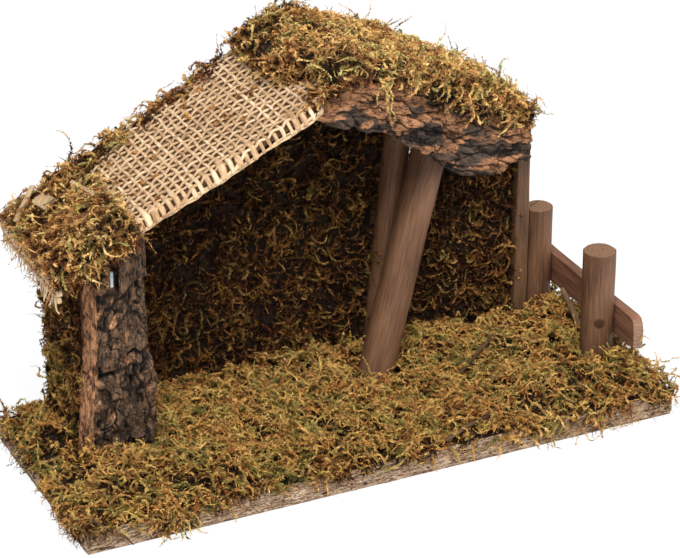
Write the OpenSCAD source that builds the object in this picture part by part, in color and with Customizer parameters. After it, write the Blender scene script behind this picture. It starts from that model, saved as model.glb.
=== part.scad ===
// Small table-top stable: a chipboard base, a hardboard house with a gable roof, bark and
// stained log trim, a log fence, burlap on one roof slope and dried moss glued all round.
// X runs along the front of the base board, Y from front to back, Z up.
// The origin is the middle of the base board's underside, and the ridge stands over X = 0.

/* [Base board] */
// Length of the base board
base_l = 300; // [290:1:320]
// Width of the base board, front to back
base_w = 114; // [112:1:130]
// Thickness of the base board
base_t = 11.2; // [8:0.2:16]

/* [House] */
// How far the house stands in from the left and right ends of the base board
end_margin = 25; // [24:0.5:40]
// How far the rear wall stands in from the rear edge of the base board
rear_margin = 4; // [3.5:0.5:8]
// Height of the ridge above the underside of the base board
ridge_h = 192; // [175:1:210]
// Slope of both sides of the roof, in degrees
roof_slope = 28.6; // [25:0.2:31]
// Thickness of the hardboard walls and roof boards
board_t = 3; // [2:0.2:4]
// Width of the open joint between the two boards of the rear wall
wall_joint = 6; // [3:0.5:8]
// Place of that joint, as a share of the way from the ridge to the right side of the house
wall_joint_at = 0.464; // [0.4:0.004:0.52]

/* [Roof] */
// How far the left roof board reaches past the left wall
left_eave = 17; // [12:1:20]
// How far the right roof board ends short of the right side of the house
right_short = 3; // [1:0.5:5]
// How far the front of the left roof board stands in from the base board's at the ridge
roof_set_back = 30; // [25:1:35]
// How much further back it is at the eave
roof_slant = 17; // [10:0.5:18]
// How far both roof boards reach behind the rear wall
roof_back_lap = 2; // [1:0.5:4]

/* [Bark] */
// Width of the bark post
post_w = 27; // [22:1:32]
// Depth of the bark post, front to back
post_d = 17; // [13:1:20]
// Distance from the front edge of the base board to the front of the bark post
post_set_back = 47; // [43:1:51]
// How far the post's sawn left side stands in from the outer face of the left wall
post_inset = 1; // [0.5:0.5:3]
// How far the foot of the post flares out to the left
post_flare = 4.5; // [2:0.5:7]
// Thickness of the loose bark plate on top of the post
plate_t = 2; // [1.5:0.25:4]
// Height of that plate
plate_h = 24; // [18:1:32]
// Greatest height of the bark fascia
fascia_h = 38; // [30:1:44]
// Thickness of the bark fascia
fascia_t = 10; // [8:0.5:12]
// Distance from the ridge to the fascia's left tip
fascia_tip_x = 21.4; // [18:0.2:24]
// How far that tip stands in front of that board's front at the ridge
fascia_proud = 4; // [2:0.5:6]
// Distance from the right side of the house to the fascia's right end
fascia_inset = 4; // [2:0.5:7]
// Depth of the furrows in the bark
bark_relief = 2; // [1:0.25:3]

/* [Sticks and logs] */
// Side of the square stick under the right end of the fascia
stick_w = 7; // [5:0.5:8]
// Diameter of the left leaning pole
left_pole_d = 13; // [10:0.5:14]
// Diameter of the right leaning pole
right_pole_d = 17; // [13:0.5:18]
// Place of the left pole's foot, as a share of the same way
left_pole_at = 0.324; // [0.3:0.002:0.34]
// How far the right pole's foot is to the left of the left pole's, middle to middle
pole_foot_side = 13; // [10:0.5:15]
// Gap between the two poles' feet, front to back
pole_foot_gap = 10.5; // [9:0.5:13]
// Lean of the left pole to the right, in degrees
left_pole_lean = 5.6; // [3:0.2:8]
// Lean of the right pole to the right, in degrees
right_pole_lean = 18; // [16:0.2:19]
// Lean of the right pole to the rear, in degrees
right_pole_back_lean = 6.7; // [5:0.1:8]
// Diameter of the front fence post
log_d = 16; // [12:0.5:17]
// Height of the front fence post above the base board
log_h = 61; // [50:1:70]
// Height of the rear fence post above the base board
rear_log_h = 58; // [50:1:70]
// Diameter of the rear fence post
rear_log_d = 14; // [11:0.5:14.5]
// Distance from the right side of the house to the inner face of the fence board
fence_reach = 15; // [15:0.5:20]
// Distance from the front edge of the base board to the middle of the front fence post
front_log_in = 43; // [38:1:50]
// Distance from the rear edge of the base board to the middle of the rear fence post
rear_log_in = 9; // [8:1:20]
// Height of the fence board, edge to edge
rail_h = 16; // [14:0.5:24]
// Thickness of the fence board
rail_t = 5; // [3:0.5:6]
// Height of the fence board's lower edge above the base board
rail_low = 15.5; // [12:0.5:22]
// How far the fence board reaches in front of the front post's middle
rail_over = 21.5; // [18:0.5:28]
// How far the fence board reaches behind the rear post's middle
rail_rear_over = 8; // [7:0.5:12]
// Radius of the rounded upper corner at the front of the fence board
rail_round = 5; // [2:0.5:8]

/* [Nails and glue] */
// Diameter of a nail's shank
nail_d = 1.6; // [1.2:0.1:2]
// Diameter of a nail's head
nail_head_d = 3.6; // [3:0.1:4.4]
// Thickness of a nail's head
nail_head_t = 0.8; // [0.5:0.1:1.2]
// Depth of a nail in the piece that it holds
nail_grip = 9; // [6:0.5:12]
// Width of a bead of hot glue
bead_d = 3; // [2:0.25:4]

/* [Burlap] */
// Thickness of the burlap
burlap_t = 1.6; // [1:0.1:2.4]
// How far the burlap hangs below the left eave
burlap_drop = 9; // [5:1:14]
// How far the burlap reaches in front of the left roof board
burlap_front = 2; // [1:0.5:5]
// How far the burlap folds down over the front edge of that board
burlap_fold = 3; // [2:0.25:3.5]
// Height of the waves in the burlap's edges
burlap_wave = 1.4; // [0.5:0.1:2.5]

/* [Moss] */
// Thickness of the moss on the floor between its mounds
floor_moss_h = 4.5; // [3:0.5:7]
// Thickness of the moss on the right side of the roof
roof_moss_h = 8.5; // [7:0.5:14]
// Thickness of the moss on the left eave
eave_moss_h = 7; // [4:0.5:10]
// How far the moss on the right side of the roof stays in from the right end of its board
moss_short = 5; // [1:0.5:8]
// How far the moss hangs over the front edges of the roof
moss_hang = 5.5; // [3:0.5:9]
// How far that moss stands out
moss_lip = 3.5; // [2:0.5:6]
// Thickness of the moss on the inside of the rear wall
wall_moss_h = 4.5; // [3:0.5:6]
// Thickness of the moss on the outside of the left wall
side_moss_h = 2.5; // [2:0.5:5]
// Height of the moss's bumps
moss_bump = 1.5; // [0.5:0.25:2.5]
// Distance between the moss's bumps
moss_pitch = 19; // [14:1:28]
// Distance between the points of the moss's surface
moss_cell = 7.5; // [6:0.5:12]

/* [Twigs and chips] */
// Thickness of the thickest twig
twig_d = 3.2; // [2:0.2:4]
// Thickness of a wood chip on the roof
chip_t = 1.2; // [0.8:0.1:2]
// Length of the longest wood chip
chip_l = 24; // [16:1:30]

/* [Hidden] */

// Clearance between soft or rough pieces and what they lie on
gap = 0.3;
// Overrun of a cut past the faces that it cuts
over = 1;
$fn = 48;

// Places that follow from the sizes above
house_half = base_l / 2 - end_margin;
house_back = base_w / 2 - rear_margin;
roof_front = base_w / 2 - roof_set_back;
post_front = base_w / 2 - post_set_back;
front_log_y = base_w / 2 - front_log_in;
rear_log_y = base_w / 2 - rear_log_in;
rail_l = rail_over + front_log_y + rear_log_y + rail_rear_over;
wall_joint_x = wall_joint_at * house_half;
left_pole_x = left_pole_at * house_half;
right_pole_x = left_pole_x - pole_foot_side;
eave_left_x = -(house_half + left_eave);
eave_right_x = house_half - right_short;
wall_y = house_back - board_t;
roof_back = house_back + roof_back_lap;
post_left = -(house_half - post_inset);
post_right = post_left + post_w;
post_back = post_d - post_front;
stick_left = house_half - stick_w - gap;
stick_front = wall_y - stick_w;
pole_y = wall_y - left_pole_d / 2;
front_pole_y = pole_y - (left_pole_d + right_pole_d) / 2 - pole_foot_gap;
rail_x = house_half + fence_reach;
front_log_x = rail_x - log_d / 2;
rear_log_x = rail_x - rear_log_d / 2;
rail_front = -(front_log_y + rail_over);
board_drop = board_t / cos(roof_slope);

// Height of the roof boards' top and underside over a place along X
function roof_top(x) = ridge_h - tan(roof_slope) * abs(x);
function roof_under(x) = roof_top(x) - board_drop;

// A value between a and b
function mix(a, b, share) = a + (b - a) * share;

// Rises smoothly from 0 to 1 as x goes from a to b
function ease(x, a, b) = let(s = max(0, min(1, (x - a) / (b - a)))) s * s * (3 - 2 * s);

// Irregular waves between -1 and 1, with a given distance between their crests
function waves(a, b, pitch) = (sin(360 * a / pitch + 50 * sin(230 * b / pitch))
    + sin(410 * b / pitch + 130) * cos(280 * a / pitch + 70)) / 2;

// Even steps from the first to the last of a list of stops, each stretch split by itself
function stretches(stops, cell) = [
    for (i = [0:len(stops) - 2])
        let(n = max(1, round((stops[i + 1] - stops[i]) / cell)))
        for (k = [0:n - 1]) mix(stops[i], stops[i + 1], k / n),
    stops[len(stops) - 1]
];

// Shares from 0 to 1 that split a length into cells
function cells(length, cell) = stretches([0, 1], cell / length);

// The mean of a list of points
function middle(points) = [for (k = [0:2]) sum([for (p = points) p[k]]) / len(points)];

function sum(list, from = 0) = from == len(list) ? 0 : list[from] + sum(list, from + 1);

// Two triangles for the square a, b, c, d
function square_faces(a, b, c, d) = [[a, b, c], [a, c, d]];

// A closed solid through rings of points, all with the same count, which run clockwise
// as seen from the first ring towards the last
module ring_solid(rings) {
    n = len(rings[0]);
    last = (len(rings) - 1) * n;
    centre = len(rings) * n;
    faces = [
        for (j = [0:n - 1])
            let(k = (j + 1) % n)
            each concat(
                [for (i = [0:len(rings) - 2])
                    each square_faces(i * n + j, i * n + n + j, i * n + n + k, i * n + k)],
                [[centre, j, k], [centre + 1, last + k, last + j]]
            )
    ];
    polyhedron(concat([for (r = rings) each r], [middle(rings[0]), middle(rings[len(rings) - 1])]),
        faces);
}

// A closed skin between two sheets of points, low and high, with the same rows and columns.
// The rows, the columns and the way from low to high are a right-handed set.
// taken(i, j) tells if the cell beyond row i and column j is left out.
module skin(low, high, taken = function(i, j) false) {
    rows = len(low);
    cols = len(low[0]);
    top = rows * cols;
    present = function(i, j) i >= 0 && j >= 0 && i < rows - 1 && j < cols - 1 && !taken(i, j);
    at = function(i, j) i * cols + j;
    sheets = [
        for (i = [0:rows - 2], j = [0:cols - 2]) if (present(i, j))
            let(a = at(i, j), b = at(i + 1, j), c = at(i + 1, j + 1), d = at(i, j + 1))
            each concat(
                square_faces(a, b, c, d),
                square_faces(top + d, top + c, top + b, top + a),
                present(i, j - 1) ? [] : square_faces(a, top + a, top + b, b),
                present(i, j + 1) ? [] : square_faces(c, top + c, top + d, d),
                present(i - 1, j) ? [] : square_faces(d, top + d, top + a, a),
                present(i + 1, j) ? [] : square_faces(b, top + b, top + c, c)
            )
    ];
    polyhedron([for (s = [low, high], row = s) each row], sheets);
}

// A tube through points, with a radius at each
module twig(points, radii, sides = 6) {
    ring_solid([
        for (i = [0:len(points) - 1])
            let(
                ahead = points[min(i + 1, len(points) - 1)] - points[max(i - 1, 0)],
                f = ahead / norm(ahead),
                s = cross(f, [0, 0, 1]),
                side = s / norm(s),
                up = cross(side, f)
            )
            [for (k = [0:sides - 1])
                points[i] + radii[i] * (cos(360 * k / sides) * side - sin(360 * k / sides) * up)]
    ]);
}

// Everything between the base board and the underside of the roof
module under_roof() {
    reach = base_l;
    rotate([90, 0, 0])
        linear_extrude(height = reach, center = true)
            polygon([
                [-reach, base_t], [reach, base_t],
                [reach, max(roof_under(reach), base_t)], [house_half, roof_under(house_half)],
                [0, roof_under(0)],
                [-house_half, roof_under(-house_half)], [-reach, max(roof_under(reach), base_t)]
            ]);
}

// Nails: where they stand in the base board, and which piece each one holds
base_nail_places = [
    [mix(post_left, post_right, 0.3), post_back - post_d / 2],
    [mix(post_left, post_right, 0.7), post_back - post_d / 2],
    [stick_left + stick_w / 2, stick_front + stick_w / 2],
    [front_log_x, -front_log_y],
    [rear_log_x, rear_log_y]
];
rail_nail_z = base_t + rail_low + rail_h / 2;

// A nail along +Z with the underside of its head at the origin
module nail(length) {
    cylinder(d = nail_d, h = length);
    translate([0, 0, -nail_head_t]) cylinder(d = nail_head_d, h = nail_head_t);
}

// The hole for a nail that comes up through the base board
module base_nail_hole(place) {
    translate([place[0], place[1], -over]) cylinder(d = nail_d, h = over + base_t + nail_grip);
}

// The hole for a nail that goes in from the outside of the fence board
module rail_nail_hole(y) {
    translate([rail_x + rail_t + over, y, rail_nail_z])
        rotate([0, -90, 0]) cylinder(d = nail_d, h = over + rail_t + nail_grip);
}

module base_board() {
    color("tan") difference() {
        translate([-base_l / 2, -base_w / 2, 0]) cube([base_l, base_w, base_t]);
        for (p = base_nail_places) {
            base_nail_hole(p);
            translate([p[0], p[1], -over]) cylinder(d = nail_head_d, h = over + nail_head_t);
        }
    }
}

// The rear wall between two places along X, cut to the roof's underside
module rear_wall(from, to) {
    color("saddlebrown") intersection() {
        under_roof();
        translate([from, wall_y, 0]) cube([to - from, board_t, ridge_h]);
    }
}

module rear_wall_left() { rear_wall(-house_half, wall_joint_x); }

module rear_wall_right() { rear_wall(wall_joint_x + wall_joint, house_half); }

module left_wall() {
    color("saddlebrown") intersection() {
        under_roof();
        translate([-house_half, post_back, 0]) cube([board_t, wall_y - post_back, ridge_h]);
    }
}

// A sloping roof board from the ridge to an eave at x
module roof_slab(x, front, back) {
    rotate([90, 0, 0])
        translate([0, 0, -back])
            linear_extrude(height = back - front)
                polygon([
                    [0, roof_under(0)], [0, roof_top(0)],
                    [x, roof_top(x)], [x, roof_under(x)]
                ]);
}

// Y of the left roof board's front edge over a place along X
function left_front(x) = -roof_front + roof_slant * abs(x / eave_left_x);

module left_roof_board() {
    color("saddlebrown") intersection() {
        roof_slab(eave_left_x, -roof_front, roof_back);
        linear_extrude(height = ridge_h + over)
            polygon([
                [0, left_front(0)], [0, roof_back],
                [eave_left_x, roof_back], [eave_left_x, left_front(eave_left_x)]
            ]);
    }
}

// Half of the width of each leaning pole, measured level, with its clearance
left_pole_half = left_pole_d / 2 / cos(left_pole_lean) + gap;
right_pole_half = right_pole_d / 2 / cos(right_pole_lean) + gap;

// The fascia crosses the front at a slant, from under the left slope to the right post.
// Its front face is laid out by the distance u along it and the distance n behind it.
fascia_tip = [-fascia_tip_x, -roof_front - fascia_proud];
fascia_end = [house_half - fascia_inset, stick_front - stick_w];
fascia_run = fascia_end - fascia_tip;
fascia_l = norm(fascia_run);
along = fascia_run / fascia_l;
behind = [-along[1], along[0]];

// Y of the fascia's front face over a place along X
function fascia_y(x) = fascia_tip[1] + (x - fascia_tip[0]) * along[1] / along[0];

module right_roof_board() {
    color("saddlebrown") intersection() {
        roof_slab(eave_right_x, -roof_front, roof_back);
        linear_extrude(height = ridge_h + over)
            polygon([
                [0, fascia_y(0)], [eave_right_x, fascia_y(eave_right_x)],
                [eave_right_x, roof_back], [0, roof_back]
            ]);
    }
}

// The bark post: sawn flat on the left and at the back, furrowed bark in front.
// The outline of a ring is given as shares of the post's width and depth.
post_outline_shares = [
    [0, 1], [0, 0.66], [0, 0.33], [0.02, 0.06], [0.12, 0], [0.24, 0.03], [0.36, -0.02], [0.48, 0.02],
    [0.60, -0.03], [0.72, 0.02], [0.84, 0.03], [0.94, 0.14], [1, 0.36], [0.97, 0.62], [1, 0.8], [0.94, 1]
];
// How far the right side swells out at each height, as shares of the post's width
post_swell_shares = [-0.3, 0.03, 0.12, 0.17, -0.1, -0.16, -0.19, -0.22, -0.22, -0.22];
post_rings = 26;

function table_at(shares, s) = let(
        p = s * (len(shares) - 1), i = min(floor(p), len(shares) - 2)
    ) mix(shares[i], shares[i + 1], p - i);

// One point of the bark post, at a share of its height and an outline share
function post_point(share, o) = let(
        right = ease(o[0], 0.5, 1),
        front = 1 - ease(o[1], 0.1, 0.4),
        flat_left = ease(o[0], 0, 0.12),
        z_mid = mix(base_t, roof_under(post_right), share),
        furrow = bark_relief * waves(z_mid, o[0] * post_w, post_w / 2),
        swell = right * table_at(post_swell_shares, share) * post_w / 2,
        flare = post_flare * (1 - o[0]) * ease(share, 0.75, 0),
        x = post_left + o[0] * post_w + swell - flare,
        y = post_back - post_d * (1 - o[1]) + front * flat_left * furrow,
        cap_y = min(post_back, y)
    ) [x, cap_y, mix(base_t, roof_under(x) - gap, share)];

module bark_post() {
    color([0.36, 0.3, 0.25]) difference() {
        ring_solid([
            for (i = [0:post_rings]) [for (o = post_outline_shares) post_point(i / post_rings, o)]
        ]);
        for (i = [0, 1]) base_nail_hole(base_nail_places[i]);
    }
}

// A loose plate of grey bark that covers the top of the post's front
plate_outline_shares = [
    [0.38, 0], [0.48, 0.5], [0.58, 0.3], [0.68, 0.6], [0.78, 0.35], [0.86, 0.5]
];
plate_rings = 8;

module post_bark_plate() {
    front = -post_front - bark_relief - gap;
    function plate_edge(o, share) = let(
            x = post_left + o[0] * post_w,
            top = roof_under(x) - gap,
            ragged = mix(plate_h * (0.14 * waves(x, 0, post_w / 2)), 0, share)
        ) [x, mix(top - plate_h + ragged, top, share)];
    color([0.42, 0.4, 0.37]) ring_solid([
        for (i = [0:plate_rings])
            let(s = i / plate_rings)
            concat(
                [for (o = plate_outline_shares)
                    let(p = plate_edge(o, s)) [p[0], front - plate_t * mix(0.55, 1, o[1]), p[1]]],
                [for (j = [len(plate_outline_shares) - 1:-1:0])
                    let(p = plate_edge(plate_outline_shares[j], s)) [p[0], front, p[1]]]
            )
    ]);
}

// How far the fascia's lower edge lies below the roof, as shares of fascia_h.
// Both lists run evenly from its left tip to its right end.
fascia_low_shares = [
    0.02, 0.3, 0.62, 0.74, 0.66, 0.66, 0.74, 0.82, 0.84, 0.98, 1, 0.95, 0.94, 0.84, 0.64, 0.57
];
// How far the bark starts below the roof, where the left end is cut at a bevel
fascia_bevel_shares = [0, 0.26, 0.3, 0.16, 0.04, 0, 0, 0, 0, 0, 0, 0, 0, 0, 0, 0];
// Its least thickness, as a share of fascia_t, where it thins out to pass the right pole
fascia_least_share = 0.4;
fascia_rings = 34;
fascia_face_points = 7;

// How far the right pole runs to the rear for each length that it runs to the right
pole_drift = tan(right_pole_back_lean) / sin(right_pole_lean);

// Y of the front of the right pole over a place along X
function pole_front(x) = front_pole_y + (x - right_pole_x) * pole_drift
    - right_pole_half * norm([1, pole_drift]) - gap;

function fascia_thick(u) = let(
        p = fascia_tip + along * u,
        room = (pole_front(p[0]) - p[1]) / (along[0] + pole_drift * along[1])
    ) max(fascia_t * fascia_least_share, min(fascia_t, room));

// A point of the fascia: u along it, and shares of its thickness and height there
function fascia_point(u, depth, share) = let(
        s = u / fascia_l,
        n = depth * fascia_thick(u),
        p = fascia_tip + along * u + behind * n,
        y = min(p[1], stick_front - gap),
        top = roof_under(p[0]) - gap,
        low = top - fascia_h * table_at(fascia_low_shares, s),
        bark_top = top - fascia_h * table_at(fascia_bevel_shares, s) * ease(depth, 0.7, 0)
    ) [p[0], y, mix(low, max(bark_top, low + gap), share)];

function fascia_ring(u) = concat(
    [for (k = [0:fascia_face_points - 1])
        let(
            share = 1 - k / (fascia_face_points - 1),
            round_off = 0.16 * pow(abs(2 * share - 1), 3),
            furrow = bark_relief / fascia_t * (1 + waves(u, share * fascia_h, fascia_h / 1.6)) / 2
        )
        fascia_point(u, round_off + furrow, share)],
    [fascia_point(u, 0.6, 0), fascia_point(u, 1, 0), fascia_point(u, 1, 1), fascia_point(u, 0.7, 1)]
);

module bark_fascia() {
    color([0.36, 0.28, 0.22])
        ring_solid([for (i = [0:fascia_rings]) fascia_ring(fascia_l * i / fascia_rings)]);
}

module right_post() {
    color([0.35, 0.22, 0.14]) difference() {
        intersection() {
            under_roof();
            translate([stick_left, stick_front, 0]) cube([stick_w, stick_w, ridge_h]);
        }
        base_nail_hole(base_nail_places[2]);
    }
}

// A round pole with its foot at x, y on the base board, leaning to the right and to the
// rear, cut to the roof
module leaning_pole(diameter, x, y, lean, back_lean = 0) {
    color([0.43, 0.31, 0.22]) intersection() {
        under_roof();
        translate([x, y, base_t])
            rotate([-back_lean, lean, 0])
                translate([0, 0, -diameter]) cylinder(d = diameter, h = ridge_h + diameter);
    }
}

module left_leaning_pole() { leaning_pole(left_pole_d, left_pole_x, pole_y, left_pole_lean); }

module right_leaning_pole() {
    leaning_pole(right_pole_d, right_pole_x, front_pole_y, right_pole_lean, right_pole_back_lean);
}

// A fence post, nailed from below and from the side
module fence_log(place, diameter, height) {
    color([0.45, 0.33, 0.25]) difference() {
        translate([place[0], place[1], base_t]) cylinder(d = diameter, h = height);
        base_nail_hole(place);
        rail_nail_hole(place[1]);
    }
}

module fence_post_front() { fence_log(base_nail_places[3], log_d, log_h); }

module fence_post_rear() { fence_log(base_nail_places[4], rear_log_d, rear_log_h); }

module fence_board() {
    low = base_t + rail_low;
    color([0.45, 0.28, 0.2]) difference() {
        union() {
            translate([rail_x, rail_front, low]) cube([rail_t, rail_l, rail_h - rail_round]);
            translate([rail_x, rail_front + rail_round, low])
                cube([rail_t, rail_l - rail_round, rail_h]);
            translate([rail_x, rail_front + rail_round, low + rail_h - rail_round])
                rotate([0, 90, 0]) cylinder(r = rail_round, h = rail_t);
        }
        rail_nail_hole(-front_log_y);
        rail_nail_hole(rear_log_y);
    }
}

module base_nails() {
    color("silver") for (p = base_nail_places)
        translate([p[0], p[1], nail_head_t]) nail(base_t + nail_grip - nail_head_t);
}

module fence_nails() {
    color("silver") for (y = [-front_log_y, rear_log_y])
        translate([rail_x + rail_t, y, rail_nail_z]) rotate([0, -90, 0]) nail(rail_t + nail_grip);
}

// A string of hot glue that shows on the post, just above the break in its bark
glue_at_share = 0.27;

module post_glue() {
    under = roof_under(post_left);
    low = under - plate_h * 0.65;
    high = under - plate_h * 0.35;
    front = min([for (z = [low:1:high])
        post_point((z - base_t) / (under - base_t), [glue_at_share, -0.02])[1]]);
    color([0.8, 0.85, 0.88])
        translate([post_left + post_w * glue_at_share, front - bead_d / 4, low])
            cylinder(d = bead_d / 2, h = high - low);
}

// Beads of hot glue in front of the poles' feet
module pole_glue() {
    color([0.8, 0.85, 0.88]) {
        translate([left_pole_x - left_pole_half - bead_d / 2, pole_y, base_t])
            cylinder(d = bead_d, h = bead_d / 2);
        translate([right_pole_x, front_pole_y - right_pole_half - bead_d / 2, base_t])
            cylinder(d = bead_d, h = bead_d / 2);
    }
}

// A bead of hot glue in the corner behind the rear wall's foot
module wall_glue() {
    bead = min(bead_d, base_w / 2 - house_back);
    color([0.8, 0.85, 0.88]) for (ends = [[-house_half, wall_joint_x],
            [wall_joint_x + wall_joint, house_half]])
        translate([mix(ends[0], ends[1], 0.05), house_back, base_t])
            rotate([90, 0, 90])
                linear_extrude(height = (ends[1] - ends[0]) * 0.9)
                    polygon([[0, 0], [bead, 0], [0, bead]]);
}

// The burlap: over the left slope, past its edges and down over the eave.
// a runs down the slope from the ridge, b from front to back.
slope_l = -eave_left_x / cos(roof_slope);
burlap_l = slope_l + burlap_drop;
down = [-cos(roof_slope), 0, -sin(roof_slope)];
lift = [-sin(roof_slope), 0, cos(roof_slope)];

// A place on the burlap, h above its underside
function burlap_place(a, b, h) = let(
        hang = max(0, a - slope_l),
        sway = burlap_wave * waves(b, a, moss_pitch * 1.4) * ease(hang, 0, burlap_drop),
        bend = 60 * ease(hang, 0, burlap_drop / 2),
        start = [0, b, ridge_h] + down * min(a, slope_l) + lift * gap,
        turned = [-cos(roof_slope + bend), 0, -sin(roof_slope + bend)],
        out = [-sin(roof_slope + bend), 0, cos(roof_slope + bend)]
    ) start + turned * hang + out * (h + max(0, sway));

module burlap_cover() {
    rows = concat([0, burlap_drop / 2], stretches([burlap_drop, burlap_l], moss_cell));
    cols = cells(roof_back + roof_front, moss_cell);
    front = function(a) left_front(a * cos(roof_slope)) - burlap_front
        - burlap_wave * (1 + waves(a, 0, moss_pitch * 1.2)) / 2;
    sheet = function(h) [
        for (r = rows)
            let(a = burlap_l - r)
            concat(
                [burlap_place(a, front(a) - h, 0) - [0, 0, burlap_fold]],
                [for (c = cols)
                    let(
                        b = mix(front(a) - (c == 0 ? h : 0), roof_back, c),
                        fold = burlap_wave * ease(c, 0.3, 0.02) * (1 + waves(a, 0, moss_pitch)) / 2,
                        ragged = r == 0 ? burlap_drop * 0.25 * waves(b, 0, moss_pitch * 0.8) : 0
                    )
                    burlap_place(a + ragged, b, h + fold)]
            )
    ];
    color([0.82, 0.69, 0.5]) skin(sheet(0), sheet(burlap_t));
}

// Moss on the floor. A mound is [x, y, radius, height] as shares of the base board's length
// and width, of its length again, and of the thickness of the moss on the roof.
mound_shares = [
    [-0.40, -0.18, 0.10, 0.9], [-0.47, 0.15, 0.08, 1.1], [-0.30, -0.36, 0.12, 0.45],
    [-0.46, 0.42, 0.08, 0.1], [0.02, -0.26, 0.12, 0.25], [0.30, -0.30, 0.13, 0.5],
    [0.45, -0.22, 0.07, 0.6], [0.36, 0.1, 0.12, 0.55], [0.44, 0.22, 0.06, 0.8],
    [-0.05, 0.30, 0.14, 0.4], [-0.22, 0.05, 0.12, 0.35], [0.2, 0.25, 0.1, 0.4]
];
floor_moss_edge = floor_moss_h / 2;
floor_moss_in = 0.5;

function floor_moss_rim(x, y) = min(
    ease(base_l / 2 - abs(x), 0, moss_cell * 2),
    ease(base_w / 2 - abs(y), 0, moss_cell * 2)
);

function floor_moss_top(x, y) = let(
        mound = max([for (m = mound_shares)
            let(far = norm([x - m[0] * base_l, y - m[1] * base_w]))
            roof_moss_h * m[3] * ease(far, m[2] * base_l, 0)]),
        full = base_t + floor_moss_h + moss_bump * waves(x, y, moss_pitch) + mound
    ) mix(base_t + floor_moss_edge, full, floor_moss_rim(x, y));

// What stands in the floor moss, as [left, right, front, back]
wall_moss_reach = wall_moss_h + moss_bump + gap;
side_moss_reach = side_moss_h + moss_bump + gap;
standing = [
    [-house_half - side_moss_reach, -house_half + board_t + gap, post_back, base_w / 2],
    [post_left - gap - bark_relief - post_flare, post_right + post_w * 0.12,
        -post_front - bark_relief - gap, post_back + gap],
    [-house_half, house_half + gap, wall_y - wall_moss_reach, base_w / 2],
    [left_pole_x - left_pole_half - bead_d, left_pole_x + left_pole_half + floor_moss_h,
        pole_y - left_pole_half, wall_y],
    [right_pole_x - right_pole_half, right_pole_x + right_pole_half + floor_moss_h,
        front_pole_y - right_pole_half - bead_d, front_pole_y + right_pole_half + floor_moss_h],
    [stick_left - gap, house_half + gap, stick_front - gap, wall_y],
    [front_log_x - log_d / 2 - gap, rail_x + gap,
        -front_log_y - log_d / 2 - gap, -front_log_y + log_d / 2 + gap],
    [rear_log_x - rear_log_d / 2 - gap, rail_x + gap,
        rear_log_y - rear_log_d / 2 - gap, rear_log_y + rear_log_d / 2 + gap]
];

function in_standing(x, y) = len([for (s = standing)
    if (x > s[0] && x < s[1] && y > s[2] && y < s[3]) 1]) > 0;

// A list in rising order
function sorted(list) = len(list) < 2 ? list : let(
        middle = list[floor(len(list) / 2)]
    ) concat(
        sorted([for (v = list) if (v < middle) v]),
        [for (v = list) if (v == middle) v],
        sorted([for (v = list) if (v > middle) v])
    );

// The same list without values that nearly repeat the one before
function thinned(list) = [for (i = [0:len(list) - 1])
    if (i == 0 || list[i] - list[max(i - 1, 0)] > gap / 4) list[i]];

// Grid lines across the base board that follow the sides of what stands on it
function moss_lines(reach, sides) = stretches(thinned(sorted(concat(
    [-reach, reach], [for (v = sides) if (abs(v) < reach - gap) v]
))), moss_cell);

module floor_moss() {
    xs = moss_lines(base_l / 2 - floor_moss_in, [for (s = standing) each [s[0], s[1]]]);
    ys = moss_lines(base_w / 2 - floor_moss_in, [for (s = standing) each [s[2], s[3]]]);
    color([0.45, 0.42, 0.18]) skin(
        [for (x = xs) [for (y = ys) [x, y, base_t]]],
        [for (x = xs) [for (y = ys) [x, y, floor_moss_top(x, y)]]],
        function(i, j) in_standing((xs[i] + xs[i + 1]) / 2, (ys[j] + ys[j + 1]) / 2)
    );
}

// Thickness of a patch of moss at shares r and c of its length and width, thinner at its
// rim. Where it hangs over its front edge, at c = 0, it stays thick there.
function moss_height(r, c, length, width, thick, hang = 0) = let(
        rim = function(s, l) ease(s * l, -moss_cell, moss_cell * 1.5),
        side = hang > 0 ? 1 - c : min(c, 1 - c),
        bump = moss_bump * waves(r * length, c * width, moss_pitch)
    ) max(thick * mix(0.45, 1, rim(min(r, 1 - r), length) * rim(side, width)) + bump, thick * 0.3);

// A patch of moss. place(r, c) is the place under it, and up(r) is the way it grows there.
// full(r, c) is how much of its thickness it has there. It may hang over its front edge,
// where it stands out as far as lip, and sag(r) is how much of both it has there.
module moss_patch(length, width, place, up, thick, full = function(r, c) 1,
        hang = 0, lip = 0, sag = function(r) 1) {
    rows = cells(length, moss_cell);
    cols = cells(width, moss_cell);
    drop = function(r) hang * sag(r) * (1 + 0.3 * waves(r * length, 0, moss_pitch));
    out = function(r) lip * mix(0.4, 1, sag(r));
    over_edge = function(r, out, fall, rise) place(r, 0) + [0, -out, -fall] + up(r) * rise;
    low_edge = function(r) hang == 0 ? [] :
        [over_edge(r, gap, drop(r), 0), over_edge(r, gap, drop(r) * 0.3, 0)];
    high_edge = function(r) hang == 0 ? [] :
        [over_edge(r, out(r), drop(r) * 0.7, 0), over_edge(r, out(r) * 0.9, 0, thick * 0.4)];
    color([0.52, 0.47, 0.2]) skin(
        [for (r = rows) concat(low_edge(r), [for (c = cols) place(r, c)])],
        [for (r = rows) concat(high_edge(r), [for (c = cols)
            place(r, c) + up(r) * moss_height(r, c, length, width, thick * full(r, c), hang)])]
    );
}

right_lift = [sin(roof_slope), 0, cos(roof_slope)];
roof_depth = roof_back + roof_front;
ridge_moss_l = 0.21 * house_half;
eave_moss_l = 0.28 * house_half;

// How far above the roof board the moss on the burlap starts, more over the front folds
function on_burlap(c) = burlap_t + 2 * gap + burlap_wave * ease(c, 0.4, 0.1);

// The moss thins out towards the ridge
ridge_thin_share = 0.45;

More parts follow.
